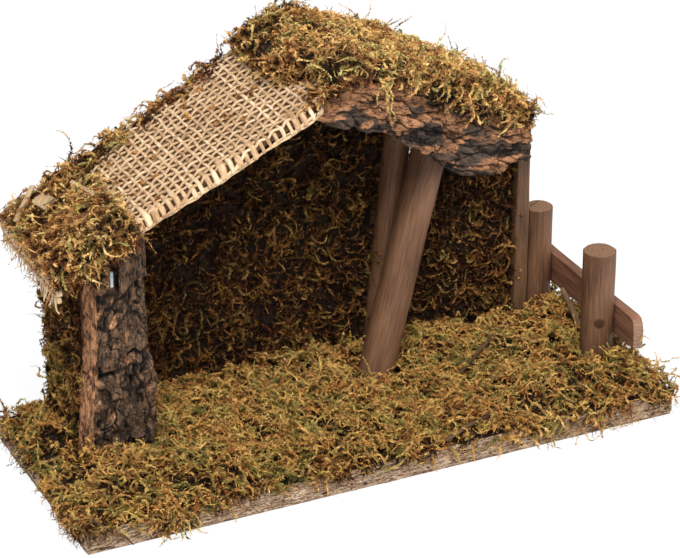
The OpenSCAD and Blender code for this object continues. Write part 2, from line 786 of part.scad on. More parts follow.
// It hangs over the fascia beyond the middle of the slope, and thins out at its right end
module right_roof_moss() {
    up = function(r) mix([0, 0, ridge_thin_share], right_lift, ease(r, 0, 0.3));
    moss_patch(eave_right_x / cos(roof_slope), roof_back - fascia_y(0),
        function(r, c) let(x = mix(gap / 2, eave_right_x - moss_short, r))
            [x, mix(fascia_y(x), roof_back, c), roof_top(x)] + up(r) * gap,
        up, roof_moss_h, function(r, c) mix(1, 0.35, ease(r, 0.72, 1)),
        hang = moss_hang, lip = moss_lip, sag = function(r) mix(0.2, 1, ease(r, 0.3, 0.55)));
}

module ridge_moss() {
    up = function(r) mix(lift, [0, 0, ridge_thin_share], ease(r, 0.4, 1));
    moss_patch(ridge_moss_l, roof_depth,
        function(r, c) let(
            x = -ridge_moss_l * mix(0.5, 1, ease(c, 0.1, 0.45)) * (1 - r) - gap / 2
        ) [x, mix(left_front(x), roof_back, c), roof_top(x)] + lift * on_burlap(c),
        up, roof_moss_h);
}

// The patch on the eave is wider along the rear edge
function eave_moss_place(r, c) = let(
        wide = eave_moss_l * (1 + 0.65 * ease(c, 0.82, 1)),
        x = eave_left_x + wide * r,
        front = left_front(x) - burlap_front - burlap_wave - burlap_t - gap
    ) [x, mix(front, roof_back, c), roof_top(x)] + lift * on_burlap(c);

// It is thin at the rear
function eave_moss_full(c) = mix(0.3, 1, ease(c, 1, 0.7));

module left_eave_moss() {
    moss_patch(eave_moss_l, roof_depth, function(r, c) eave_moss_place(r, c),
        function(r) lift, eave_moss_h, function(r, c) eave_moss_full(c),
        hang = moss_hang, lip = moss_lip, sag = function(r) 0.4);
}

// Moss on the inside of the rear wall, up to the roof. Each side is [the place of its foot
// along X, how far it runs to the right per unit of height].
module rear_wall_moss(left, right) {
    roof = ridge_h - board_drop - gap;
    fall = tan(roof_slope);
    moss_patch(right[0] - left[0], ridge_h - base_t,
        function(r, c) let(
            foot = mix(left[0], right[0], r),
            run = mix(left[1], right[1], r),
            start = foot - run * base_t,
            top = min((roof - fall * start) / (1 + fall * run),
                (roof + fall * start) / (1 - fall * run)),
            z = mix(base_t + gap, top, c)
        ) [foot + run * (z - base_t), wall_y - gap, z],
        function(r) [0, -1, 0], wall_moss_h);
}

module rear_wall_moss_left() {
    rear_wall_moss([-house_half + board_t + gap, 0],
        [left_pole_x - left_pole_half, tan(left_pole_lean)]);
}

// Its left side runs from the left pole's foot to the right of the open joint
module rear_wall_moss_right() {
    foot = left_pole_x + left_pole_half;
    joint_end = wall_joint_x + 2 * wall_joint;
    rear_wall_moss([foot, (joint_end - foot) / (roof_under(wall_joint_x) - base_t)],
        [stick_left - gap, 0]);
}

// Moss on the outside of the left wall, up to the underside of the eave
module left_wall_moss() {
    outer = -house_half - side_moss_reach;
    moss_patch(roof_under(outer) - base_t, house_back - post_back,
        function(r, c) [
            -house_half - gap, mix(post_back + gap, house_back, c),
            mix(base_t + gap, roof_under(outer) - gap, r)
        ],
        function(r) [-1, 0, 0], side_moss_h);
}

// Twigs that lie on the floor moss run straight from one end to the other, over its bumps.
// Their ends are shares of the base board's length and width.
function on_moss(from_share, to_share, r) = let(
        ends = [for (e = [from_share, to_share]) [e[0] * base_l, e[1] * base_w]],
        stops = [0:0.05:1],
        top = max([for (s = stops)
            let(p = mix(ends[0], ends[1], s))
            floor_moss_top(p[0], max(p[1], -base_w / 2))])
    ) [for (s = [0:0.2:1])
        let(p = mix(ends[0], ends[1], s), crook = r * 0.8 * waves(s * moss_pitch, 0, moss_pitch * 0.7))
        [p[0] + crook, p[1] - crook, top + r + gap]];

module light_twig() {
    r = twig_d * 0.28;
    color([0.6, 0.5, 0.32]) twig(on_moss([0.197, -0.097], [0.358, 0.247], r), [for (i = [0:5]) r]);
}

module dark_twig() {
    r = twig_d * 0.3;
    color([0.25, 0.18, 0.12]) twig(on_moss([0.088, -0.53], [0.202, -0.4], r), [for (i = [0:5]) r]);
}

// A thin twig that leaves the left edge and bends down over the front edge
module edge_twig() {
    r = twig_d * 0.16;
    color([0.35, 0.27, 0.15]) twig([
        [-base_l * 0.495, -base_w * 0.36, base_t + floor_moss_h + r],
        [-base_l * 0.485, -base_w * 0.49, base_t + floor_moss_h],
        [-base_l * 0.465, -base_w / 2 - 2 * r, base_t],
        [-base_l * 0.44, -base_w / 2 - 4 * r, base_t / 2],
        [-base_l * 0.43, -base_w / 2 - 5 * r, 3 * r]
    ], [for (i = [0:4]) r]);
}

// The thickest twig leans against the inside of the fence board
module fence_twig() {
    r = twig_d / 2;
    color([0.58, 0.46, 0.3]) twig([
        [rail_x - 2 * r, base_w * 0.09, floor_moss_top(rail_x - 2 * r, base_w * 0.09) + r],
        [rail_x - 1.6 * r, base_w * 0.18, base_t + rail_low - r],
        [rail_x - r - gap, base_w * 0.27, base_t + rail_low + rail_h * 0.2]
    ], [r, r * 0.9, r * 0.7]);
}

// Wood chips on the eave moss: [r, c] on the patch, turn in degrees, and shares of chip_l
// for its length and width
chip_shares = [
    [0.26, 0.78, 45, 0.95, 0.12], [0.44, 0.66, -80, 0.5, 0.3], [0.86, 0.53, -80, 0.85, 0.08]
];

// The greatest height of the moss under a chip
function under_chip(p) = max([
    for (i = [-0.5:0.25:0.5], j = [-0.5, 0, 0.5])
        let(
            spot = chip_l * [i * p[3], j * p[4]],
            r = p[0] + (spot[0] * cos(p[2]) - spot[1] * sin(p[2])) / eave_moss_l,
            c = p[1] + (spot[0] * sin(p[2]) + spot[1] * cos(p[2])) / roof_depth
        )
        moss_height(r, c, eave_moss_l, roof_depth, eave_moss_h * eave_moss_full(c), moss_hang)
]);

module eave_chips() {
    color([0.66, 0.5, 0.33]) for (p = chip_shares)
        translate(eave_moss_place(p[0], p[1]) + lift * (under_chip(p) + chip_t / 2 + gap / 2))
            rotate([0, -roof_slope, 0])
                rotate([0, 0, p[2]]) cube([chip_l * p[3], chip_l * p[4], chip_t], center = true);
}

base_board();
rear_wall_left();
rear_wall_right();
left_wall();
left_roof_board();
right_roof_board();
bark_post();
post_bark_plate();
bark_fascia();
right_post();
left_leaning_pole();
right_leaning_pole();
fence_post_front();
fence_post_rear();
fence_board();
base_nails();
fence_nails();
post_glue();
pole_glue();
wall_glue();
burlap_cover();
floor_moss();
ridge_moss();
right_roof_moss();
left_eave_moss();
rear_wall_moss_left();
rear_wall_moss_right();
left_wall_moss();
light_twig();
dark_twig();
edge_twig();
fence_twig();
eave_chips();
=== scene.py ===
"""Looks of the small nativity stable: moss, burlap, bark, chipboard and stained sticks."""

import math

import bmesh
import bpy
import numpy as np
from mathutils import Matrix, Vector

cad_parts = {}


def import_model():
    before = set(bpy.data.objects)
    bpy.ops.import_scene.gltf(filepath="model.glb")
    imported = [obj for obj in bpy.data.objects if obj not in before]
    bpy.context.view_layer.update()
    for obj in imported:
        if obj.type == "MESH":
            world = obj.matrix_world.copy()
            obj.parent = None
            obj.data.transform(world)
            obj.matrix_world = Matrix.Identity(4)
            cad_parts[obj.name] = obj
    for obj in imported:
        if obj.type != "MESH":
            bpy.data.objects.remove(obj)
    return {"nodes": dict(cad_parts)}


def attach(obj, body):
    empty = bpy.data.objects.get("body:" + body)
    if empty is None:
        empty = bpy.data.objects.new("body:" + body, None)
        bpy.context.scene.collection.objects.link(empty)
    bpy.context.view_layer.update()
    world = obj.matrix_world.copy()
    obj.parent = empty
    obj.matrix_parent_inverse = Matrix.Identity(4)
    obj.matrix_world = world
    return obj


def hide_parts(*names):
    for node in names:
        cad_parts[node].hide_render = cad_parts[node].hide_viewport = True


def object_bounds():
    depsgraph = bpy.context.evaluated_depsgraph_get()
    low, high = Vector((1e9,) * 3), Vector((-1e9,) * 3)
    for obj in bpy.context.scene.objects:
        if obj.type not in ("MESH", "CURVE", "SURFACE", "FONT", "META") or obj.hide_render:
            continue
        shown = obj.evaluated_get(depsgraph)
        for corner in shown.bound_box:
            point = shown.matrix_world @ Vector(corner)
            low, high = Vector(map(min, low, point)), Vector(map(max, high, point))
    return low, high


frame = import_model()
cad_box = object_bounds()
NODES = frame["nodes"]
MM = 0.001
UP = np.array([0.0, 0.0, 1.0])

# The stable's own sizes, in metres, as in the part's source
SLOPE = math.radians(28.6)
RIDGE = 192 * MM
BASE_HALF_L, BASE_HALF_W, BASE_T = 150 * MM, 57 * MM, 11.2 * MM
HOUSE_HALF, WALL_Y = 125 * MM, 50 * MM
ROOF_BACK, ROOF_FRONT, ROOF_SLANT = 55 * MM, 27 * MM, 17 * MM
EAVE_X, BURLAP_DROP, BURLAP_FRONT = 142 * MM, 9 * MM, 2 * MM
FASCIA_TIP = np.array([-21.4, -31.0, 176.0]) * MM
FASCIA_END = np.array([121.0, 36.0, 108.0]) * MM
FASCIA_RUN = FASCIA_END - FASCIA_TIP


# Numbers that repeat each run

def dice(seed):
    return np.random.default_rng(seed)


def lattice(cell, seed):
    """A repeatable value from -1 to 1 for each whole cell."""
    n = cell[..., 0] * 73856093 ^ cell[..., 1] * 19349663 ^ cell[..., 2] * 83492791 ^ seed * 40503
    n = (n ^ (n >> 13)) * 1274126177
    n = n ^ (n >> 16)
    return (n & 0xFFFFFF) / 0x7FFFFF - 1


def noise(points, size, seed=0, octaves=1):
    """Smooth noise from -1 to 1 at points. size is the size of its bumps in millimetres, one
    number or one for each axis."""
    total, weight, sum_of_weights = 0.0, 1.0, 0.0
    size = np.asarray(size, float) * MM
    for octave in range(octaves):
        p = points / size
        cell = np.floor(p).astype(np.int64)
        f = p - cell
        f = f * f * (3 - 2 * f)
        value = 0.0
        for step in np.ndindex(2, 2, 2):
            near = np.abs(1 - np.array(step) - f)
            share = near[..., 0] * near[..., 1] * near[..., 2]
            value = value + share * lattice(cell + np.array(step), seed + octave)
        total = total + value * weight
        sum_of_weights += weight
        weight *= 0.5
        size = size * 0.5
    return total / sum_of_weights


def warp(points, size, seed, octaves):
    """Three noises for each point, to move it by."""
    return np.stack([noise(points, size, seed + k, octaves) for k in range(3)], -1)


def plates(points, size, seed):
    """A surface cracked into plates: for each point a number from 0 to 1 that its plate has,
    and 0 in a crack, which rises to 1 beside it. size is that of the plates in millimetres."""
    p = points / (np.asarray(size, float) * MM)
    first = np.floor(p).astype(np.int64)
    nearest = np.full(len(p), 9.0)
    second = np.full(len(p), 9.0)
    number = np.zeros(len(p))
    for step in np.ndindex(3, 3, 3):
        cell = first + np.array(step) - 1
        shift = np.stack([lattice(cell, seed + k) for k in range(3)], -1)
        far = np.linalg.norm(p - (cell + 0.5 + 0.45 * shift), axis=-1)
        closer = far < nearest
        second = np.where(closer, nearest, np.minimum(second, far))
        number = np.where(closer, (lattice(cell, seed + 3) + 1) / 2, number)
        nearest = np.where(closer, far, nearest)
    return number, ease(second - nearest, 0.0, 0.1)


def unit(v):
    return v / np.maximum(np.linalg.norm(v, axis=-1, keepdims=True), 1e-12)


def dot(a, b):
    return (a * b).sum(-1)


def mix(a, b, share):
    return a + (b - a) * share


def ease(x, a, b):
    s = np.clip((x - a) / (b - a), 0, 1)
    return s * s * (3 - 2 * s)


def turned(v, axis, angle):
    """Vectors v turned about unit axes by angles."""
    c, s = np.cos(angle)[..., None], np.sin(angle)[..., None]
    along = dot(v, axis)[..., None]
    return v * c + np.cross(axis, v) * s + axis * along * (1 - c)


def roof_top(x):
    return RIDGE - math.tan(SLOPE) * np.abs(x)


def roof_front(x):
    """Y of the front edge of the roof boards."""
    left = -ROOF_FRONT + ROOF_SLANT * np.abs(x) / EAVE_X
    right = FASCIA_TIP[1] + (x - FASCIA_TIP[0]) * FASCIA_RUN[1] / FASCIA_RUN[0]
    return np.where(x < 0, left, right)


def shade(red, green, blue):
    """A colour given as it shows on a screen, from 0 to 255."""
    return tuple(((c / 255 + 0.055) / 1.055) ** 2.4 for c in (red, green, blue))


# Materials

class Shader:
    """A material's node tree, built one node at a time. more holds settings of its surface
    by name."""

    def __init__(self, name, roughness, more=None):
        self.material = bpy.data.materials.new(name)
        self.material.use_nodes = True
        self.tree = self.material.node_tree
        self.surface = self.tree.nodes["Principled BSDF"]
        settings = {"Roughness": roughness, "Specular IOR Level": 0.3, **(more or {})}
        for key, value in settings.items():
            self.surface.inputs[key].default_value = value

    def node(self, kind, inputs=None, **settings):
        made = self.tree.nodes.new("ShaderNode" + kind)
        for name, value in settings.items():
            setattr(made, name, value)
        for name, value in (inputs or {}).items():
            self.put(made.inputs[name], value)
        return made

    def put(self, socket, value):
        if isinstance(value, bpy.types.NodeSocket):
            self.tree.links.new(value, socket)
        else:
            socket.default_value = value

    def stretched(self, vector, scale):
        mapping = self.node("Mapping", {"Vector": vector})
        mapping.inputs["Scale"].default_value = scale
        return mapping.outputs["Vector"]

    def place(self, scale=(1, 1, 1)):
        """Object coordinates in millimetres, stretched."""
        coordinates = self.node("TexCoord").outputs["Object"]
        return self.stretched(coordinates, [s / MM for s in scale])

    def kept_place(self, scale=(1, 1, 1)):
        """The place in millimetres that a mesh keeps along its own grain, stretched."""
        kept = self.node("Attribute", attribute_name="grain").outputs["Vector"]
        return self.stretched(kept, scale)

    def value(self, name):
        """A number kept with the mesh."""
        return self.node("Attribute", attribute_name=name).outputs["Fac"]

    def noise(self, where, size, detail, distortion=0.0):
        made = self.node("TexNoise", {
            "Vector": where, "Scale": 1 / size, "Detail": detail, "Distortion": distortion,
        })
        return made.outputs["Fac"]

    def maths(self, operation, a, b):
        made = self.node("Math", operation=operation)
        self.put(made.inputs[0], a)
        self.put(made.inputs[1], b)
        return made.outputs["Value"]

    def shifted(self, base, change, amount):
        """base, moved up or down by a noise about its middle."""
        centred = self.maths("SUBTRACT", change, 0.5)
        return self.maths("ADD", base, self.maths("MULTIPLY", centred, amount))

    def ramp(self, fac, *stops):
        """stops are (place, colour); a colour is three numbers, or one for grey."""
        made = self.node("ValToRGB", {"Fac": fac})
        elements = made.color_ramp.elements
        while len(elements) < len(stops):
            elements.new(0.5)
        for element, (place, colour) in zip(elements, stops):
            element.position = place
            element.color = (*(colour if hasattr(colour, "__len__") else (colour,) * 3), 1)
        return made.outputs["Color"]

    def blend(self, fac, a, b, kind="MIX"):
        made = self.node("Mix", data_type="RGBA", blend_type=kind)
        self.put(made.inputs["Factor"], fac)
        for socket, value in ((made.inputs[6], a), (made.inputs[7], b)):
            self.put(socket, (*value, 1) if isinstance(value, tuple) else value)
        return made.outputs[2]

    def times(self, a, b):
        return self.blend(1.0, a, b, "MULTIPLY")

    def bump(self, height, distance):
        made = self.node("Bump", {"Height": height, "Distance": distance})
        return made.outputs["Normal"]

    def done(self, colour, normal=None):
        self.put(self.surface.inputs["Base Color"], colour)
        if normal is not None:
            self.put(self.surface.inputs["Normal"], normal)
        return self.material


def moss_strand_material(name, strength):
    """Strands by their own tint: brown, rusty, tan, yellow-green, green, and straw. They
    darken to a reddish brown towards their roots and deep in the cushion, which is painted
    shade, and the highest strands are made a little brighter, which is painted light.
    strength scales the colour of each copy."""
    s = Shader(name, 0.7)
    spread = s.noise(s.place(), 14, 3)
    tint = s.value("tint")
    colour = s.ramp(
        s.shifted(tint, spread, 0.35),
        (0.0, shade(100, 58, 32)), (0.16, shade(156, 100, 54)), (0.34, shade(196, 148, 82)),
        (0.52, shade(222, 186, 116)), (0.7, shade(196, 180, 106)), (0.9, shade(122, 120, 60)),
    )
    colour = s.blend(s.ramp(tint, (0.94, 0.0), (0.96, 1.0)), colour, shade(232, 200, 150))
    # Painted shade and light by height in the cushion: low strands nearly black, the highest a
    # little brighter
    depth = s.ramp(
        s.value("height"),
        (0.0, (0.03, 0.018, 0.01)), (0.36, (0.15, 0.1, 0.065)),
        (0.72, (0.62, 0.53, 0.43)), (1.0, 1.18),
    )
    # Painted shade along each strand: darker towards its root, lighter at its tip
    along = s.ramp(s.value("along"), (0.0, 0.45), (0.4, 0.9), (1.0, 1.2))
    return s.done(s.times(s.times(colour, along), s.times(depth, strength)))


def speckled_material(name, roughness, size, detail, dark, light, bump=0.0, distortion=0.0,
                      more=None):
    """Noise between two colours, which also makes bumps. size and bump are in millimetres."""
    s = Shader(name, roughness, more)
    fine = s.noise(s.place(), size, detail, distortion)
    normal = s.bump(fine, bump * MM) if bump else None
    return s.done(s.ramp(fine, (0.3, dark), (0.7, light)), normal)


def chipboard_material():
    s = Shader("chipboard", 0.9)
    place = s.place((0.45, 0.45, 2.4))
    chips = s.node("TexVoronoi", {"Vector": place, "Scale": 1 / 2.2})
    tone = s.ramp(
        chips.outputs["Color"],
        (0.1, shade(142, 112, 86)), (0.45, shade(190, 160, 129)), (0.9, shade(224, 198, 168)),
    )
    crumbs = s.noise(place, 1.3, 6, 1.6)
    dark = s.ramp(crumbs, (0.39, shade(96, 66, 44)), (0.53, 1.0))
    # Painted shade in the pits of the board's sides
    pit_shade = s.ramp(s.value("pit_shade"), (0.1, 1.0), (0.8, shade(90, 62, 42)))
    return s.done(s.times(s.times(tone, dark), pit_shade), s.bump(crumbs, 0.9 * MM))


def bark_material(name, grey_dark, grey_light, rust_dark, rust_light):
    """Grey outer layers, rusty inner ones that show where they broke off, and painted shade in the
    cracks, fissures and hollows, which the mesh keeps.
    """
    s = Shader(name, 0.85)
    along_grain = s.noise(s.kept_place((1, 1, 0.1)), 0.7, 5, 0.8)
    blotches = s.noise(s.kept_place((1, 1, 0.4)), 2.6, 5, 0.4)
    specks = s.noise(s.kept_place(), 0.6, 3)
    both = s.shifted(s.shifted(along_grain, blotches, 1.4), specks, 1.0)
    grey = s.ramp(both, (0.28, grey_dark), (0.8, grey_light))
    rust = s.ramp(both, (0.22, rust_dark), (0.75, rust_light))
    colour = s.blend(s.value("rust"), grey, rust)
    # Painted shade kept with the mesh: dark in cracks, fissures and hollows
    crack_and_shade = s.ramp(s.value("crack_and_shade"), (0.0, shade(30, 21, 17)), (0.7, 1.0))
    tone = s.ramp(s.value("tone"), (0.0, 0.7), (1.0, 1.2))
    height = s.maths("ADD", along_grain, s.maths("MULTIPLY", specks, 0.6))
    return s.done(s.times(s.times(colour, crack_and_shade), tone), s.bump(height, 0.9 * MM))


def wood_material(name, dark, light, end_light, roughness=0.55):
    """Stained wood with streaks along its grain, and rings where it was sawn across."""
    s = Shader(name, roughness)
    streaks = s.noise(s.kept_place((1, 1, 0.05)), 0.7, 6, 0.5)
    broad = s.noise(s.kept_place((1, 1, 0.3)), 8, 3)
    long = s.ramp(s.shifted(streaks, broad, 0.8), (0.25, dark), (0.75, light))
    rings = s.node("TexWave", {
        "Vector": s.kept_place((1, 1, 0)), "Scale": 0.16, "Distortion": 2.5, "Detail": 2.0,
    }, wave_type="RINGS", rings_direction="Z")
    rough = s.noise(s.kept_place(), 1.2, 4)
    rings = s.shifted(rings.outputs["Fac"], rough, 1.6)
    end = s.ramp(rings, (0.0, tuple(c * 0.72 for c in end_light)), (0.9, end_light))
    colour = s.blend(s.value("end"), long, end)
    knots = s.ramp(s.value("knot"), (0.0, 1.0), (1.0, shade(165, 140, 125)))
    return s.done(s.times(colour, knots), s.bump(streaks, 0.25 * MM))


def burlap_material():
    s = Shader("burlap", 0.85)
    fibres = s.noise(s.kept_place((1, 1, 0.12)), 0.45, 4, 0.6)
    stains = s.noise(s.place(), 12, 4)
    tint = s.shifted(s.shifted(s.value("tint"), fibres, 1.1), stains, 0.5)
    colour = s.ramp(
        tint,
        (0.1, shade(150, 112, 78)), (0.45, shade(204, 168, 128)), (0.85, shade(240, 212, 174)),
    )
    return s.done(colour, s.bump(fibres, 0.4 * MM))


# Copies of the moss strands, their colour scaled for each place: a little brighter on the roof,
# darker and browner on the floor and the side wall, and much darker inside the stable, which is
# painted shade
MOSS_STRAND = moss_strand_material("moss_strands", (1.08, 1.06, 1.12))
MOSS_FLOOR = moss_strand_material("moss_strands_floor", (0.84, 0.73, 0.6))
MOSS_INSIDE_SHADED = moss_strand_material("moss_strands_inside_shaded", (0.5, 0.4, 0.3))
MOSS_SIDE = moss_strand_material("moss_strands_side", (0.74, 0.64, 0.5))
# Almost black: the dark brown of the moss's lower layers, darkened further as painted shade for
# the gaps between strands
SHADED_MOSS_BED = speckled_material(
    "moss_bed", 0.95, 1.2, 4, shade(12, 7, 4), shade(44, 28, 12), bump=1.0)
HARDBOARD = speckled_material(
    "hardboard", 0.7, 1.5, 6, shade(92, 64, 42), shade(120, 88, 60), bump=0.15, distortion=1.0)
NAIL_STEEL = speckled_material("nail_steel", 0.4, 0.8, 3, 0.28, 0.5, more={"Metallic": 1.0})
GLUE = speckled_material(
    "hot_glue", 0.25, 1.5, 3, shade(160, 162, 160), shade(206, 207, 204),
    more={"Subsurface Weight": 0.3})
BURLAP = burlap_material()
POST_BARK = bark_material(
    "post_bark", shade(32, 21, 14), shade(124, 95, 71), shade(84, 46, 28), shade(212, 154, 108))
FASCIA_BARK = bark_material(
    "fascia_bark", shade(44, 36, 31), shade(104, 85, 72), shade(84, 50, 31), shade(204, 147, 104))
POLE = wood_material("stained_pole", shade(82, 55, 38), shade(128, 92, 66), shade(142, 106, 80))
DARK_STICK = wood_material("dark_stick", shade(70, 48, 34), shade(120, 88, 62), shade(120, 90, 66))
FENCE = wood_material("fence_board", shade(98, 66, 50), shade(150, 106, 82), shade(156, 122, 98))
TWIG = wood_material("twig", shade(80, 58, 38), shade(150, 118, 80), shade(160, 130, 90), 0.8)
DARK_TWIG = wood_material(
    "dark_twig", shade(54, 38, 26), shade(104, 76, 52), shade(110, 86, 64), 0.8)
CHIP = wood_material(
    "wood_chip", shade(140, 112, 80), shade(206, 176, 136), shade(190, 160, 120), 0.8)


# Meshes

def new_object(name, data):
    made = bpy.data.objects.new(name, data)
    bpy.context.scene.collection.objects.link(made)
    return made


def keep_values(mesh, values):
    """Keeps a number or a vector per point with the mesh, for each name."""
    for key, numbers in values.items():
        numbers = np.asarray(numbers, np.float32)
        kind, field = ("FLOAT", "value") if numbers.ndim == 1 else ("FLOAT_VECTOR", "vector")
        mesh.attributes.new(key, kind, "POINT").data.foreach_set(field, numbers.ravel())


def new_mesh(name, points, faces, material, values=None, smooth=False):
    """An object from points and faces, with what its points keep."""
    mesh = bpy.data.meshes.new(name)
    points = np.asarray(points, float)
    faces = np.asarray(faces)
    mesh.vertices.add(len(points))
    mesh.vertices.foreach_set("co", points.ravel())
    corners = faces.shape[1]
    mesh.loops.add(faces.size)
    mesh.loops.foreach_set("vertex_index", faces.ravel())
    mesh.polygons.add(len(faces))
    mesh.polygons.foreach_set("loop_start", np.arange(len(faces)) * corners)
    mesh.update(calc_edges=True)
    mesh.validate()
    mesh.polygons.foreach_set("use_smooth", np.full(len(mesh.polygons), smooth))
    keep_values(mesh, values or {})
    mesh.materials.append(material)
    return new_object(name, mesh)


def piece(made, node):
    """Attaches an object to the stable's root and hides the CAD node that it stands for."""
    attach(made, "root")
    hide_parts(node)
    return made


def dress(material, *nodes):
    """Gives CAD nodes that stay their material."""
    for node in nodes:
        slots = NODES[node].data.materials
        slots.clear()
        slots.append(material)


def threes(items, field, kind=float):
    """The three numbers that each of a mesh's points, normals or triangles has in a field."""
    numbers = np.empty(len(items) * 3, kind)
    items.foreach_get(field, numbers)
    return numbers.reshape(-1, 3)


def points_of(mesh):
    """The places and normals of a mesh's points."""
    return threes(mesh.vertices, "co"), threes(mesh.vertex_normals, "vector")


def triangles_of(node):
    """Points and triangles of a CAD node's mesh."""
    mesh = NODES[node].data
    mesh.calc_loop_triangles()
    return threes(mesh.vertices, "co"), threes(mesh.loop_triangles, "vertices", np.int64)


def welded(made, cuts=0):
    """Joins an object's points that lie in one place, and splits its edges if asked."""
    work = bmesh.new()
    work.from_mesh(made.data)
    bmesh.ops.remove_doubles(work, verts=work.verts, dist=1e-6)
    if cuts:
        bmesh.ops.subdivide_edges(work, edges=work.edges, cuts=cuts, use_grid_fill=True)
    bmesh.ops.recalc_face_normals(work, faces=work.faces)
    work.to_mesh(made.data)
    work.free()


def carved(node, voxel, shape, material):
    """A finely meshed copy of a CAD node in its place. shape(points, normals) gives how far
    each point moves outwards, and what it keeps."""
    made = new_mesh(node + "_carved", *triangles_of(node), material)
    welded(made)
    finer = made.modifiers.new("finer", "REMESH")
    finer.mode = "VOXEL"
    finer.voxel_size = voxel
    finer.use_smooth_shade = True
    graph = bpy.context.evaluated_depsgraph_get()
    fine = bpy.data.meshes.new_from_object(made.evaluated_get(graph))
    made.modifiers.clear()
    made.data = fine
    fine.materials.clear()
    fine.materials.append(material)
    points, normals = points_of(fine)
    move, values = shape(points, normals)
    fine.vertices.foreach_set("co", (points + normals * move[:, None]).ravel())
    keep_values(fine, values)
    fine.update()
    return piece(made, node)


def measured(points, start, axis, front=(0.3, -1.0, 0.1)):
    """Places from start: sideways, out to the front, and along an axis."""
    axis = unit(np.asarray(axis, float))
    front = np.asarray(front, float)
    out = unit(front - axis * (front @ axis))
    away = points - np.asarray(start)
    return np.stack([away @ np.cross(axis, out), away @ out, away @ axis], -1)


# Moss

# The direction from each patch of moss into what it is glued to
INTO_LEFT_ROOF = (math.sin(SLOPE), 0, -math.cos(SLOPE))
INTO_RIGHT_ROOF = (-math.sin(SLOPE), 0, -math.cos(SLOPE))
BACKINGS = {
    "floor_moss": (0, 0, -1), "ridge_moss": INTO_LEFT_ROOF, "right_roof_moss": INTO_RIGHT_ROOF,
    "left_eave_moss": INTO_LEFT_ROOF, "rear_wall_moss_left": (0, 1, 0),
    "rear_wall_moss_right": (0, 1, 0), "left_wall_moss": (1, 0, 0),
}
BED_SINK = 1.6 * MM

# Kinds of strand: fine fronds, thick cords that lie on top of them, and thin fibres without
# leaves. Lengths are in millimetres.
KINDS = {
    "frond": dict(each=4, length=8, rise=(-0.3, 0.45), curl=(0.1, 0.5), steps=12, lift=0.0),
    "cord": dict(each=1, length=15, rise=(-0.2, 0.25), curl=(0.02, 0.3), steps=22, lift=1.4),
    "fibre": dict(each=2, length=6.5, rise=(-0.3, 0.0), curl=(0.15, 0.5), steps=9, lift=0.8),
}
LEAF_LENGTHS = {"frond": 1.2, "cord": 1.9, "sprig": 1.6}
LEAVES_PER_POINT, LEAF_WIDTH, FIBRE_WIDTH = 3, 0.3, 0.4
# How the tufts of a patch are shared out among them
ROOF_SHARES = {"frond": 0.54, "cord": 0.36, "fibre": 0.1}
FLOOR_SHARES = {"frond": 0.44, "cord": 0.5, "fibre": 0.06}
INSIDE_SHARES = {"frond": 0.72, "cord": 0.2, "fibre": 0.08}
RIM_SHARES = {"frond": 0.84, "cord": 0.16, "fibre": 0.0}
# How far above the roof boards the moss that lies on the cloth starts
ON_CLOTH = 2.2 * MM
# How far strands stay off boards and walls, and how far they may pass the CAD solids' box
CLEAR = 0.1 * MM
SPARE = np.array([8, 3, 5]) * MM


def open_side(node):
    """The triangles of a moss node that don't lie against what it is glued to."""
    points, faces = triangles_of(node)
    a, b, c = (points[faces[:, k]] for k in range(3))
    cross = np.cross(b - a, c - a)
    normals = unit(cross)
    area = np.linalg.norm(cross, axis=1) / 2
    shown = normals @ np.array(BACKINGS[node], float) < 0.6
    return a[shown], b[shown], c[shown], normals[shown], area[shown]


def roots_on(node, count, rng):
    """Points spread evenly over the open side of a moss node, and the normals there."""
    a, b, c, normals, area = open_side(node)
    picked = rng.choice(len(area), count, p=area / area.sum())
    u, v = rng.random((2, count, 1))
    over = u + v > 1
    u, v = np.where(over, 1 - u, u), np.where(over, 1 - v, v)
    points = a[picked] * (1 - u - v) + b[picked] * u + c[picked] * v
    return points, normals[picked]


def sideways_on(normals, rng):
    """Random directions at right angles to normals."""
    v = rng.normal(size=normals.shape)
    return unit(v - normals * dot(v, normals)[:, None])


def spines(roots, normals, rng, hang, each, length, rise, curl, steps, lift):
    """The middle lines of tufts of curled strands. each is the number of strands in a tuft,
    and the other values are those of a kind. Returns their points and headings, the ground
    under them, its normals and their tints."""
    tufts = len(roots)
    heading = unit(sideways_on(normals, rng) + normals * rng.uniform(*rise, tufts)[:, None])
    way = rng.choice([-1.0, 1.0], tufts)[:, None]
    axis = unit(normals * way + 0.7 * rng.normal(size=(tufts, 3)))
    long = length * rng.uniform(0.6, 1.3, tufts) * MM
    bend = rng.uniform(*curl, tufts)
    tint = rng.normal(0, 0.13, tufts)
    own = np.repeat(np.arange(tufts), each)
    count = len(own)
    normals = normals[own]
    ground = roots[own] + sideways_on(normals, rng) * rng.uniform(0, 2.2 * MM, count)[:, None]
    place = ground + normals * (rng.uniform(-1.5, 0.2, count) + lift)[:, None] * MM
    heading = unit(heading[own] + 0.5 * rng.normal(size=(count, 3)))
    axis = unit(axis[own] + 0.5 * rng.normal(size=(count, 3)))
    step = (long[own] * rng.uniform(0.6, 1.3, count) / (steps - 1))[:, None]
    bend = bend[own] * rng.uniform(0.4, 1.5, count)
    line, ahead = [], []
    for _ in range(steps):
        line.append(place)
        ahead.append(heading)
        place = place + heading * step
        heading = turned(heading, axis, bend)
        height = dot(place - ground, normals)[:, None]
        heading = unit(heading - normals * 0.3 * (height / MM - lift) / 1.5 - UP * hang)
    tint = tint[own] + rng.normal(0, 0.07, count)
    return np.stack(line, 1), np.stack(ahead, 1), ground, normals, tint


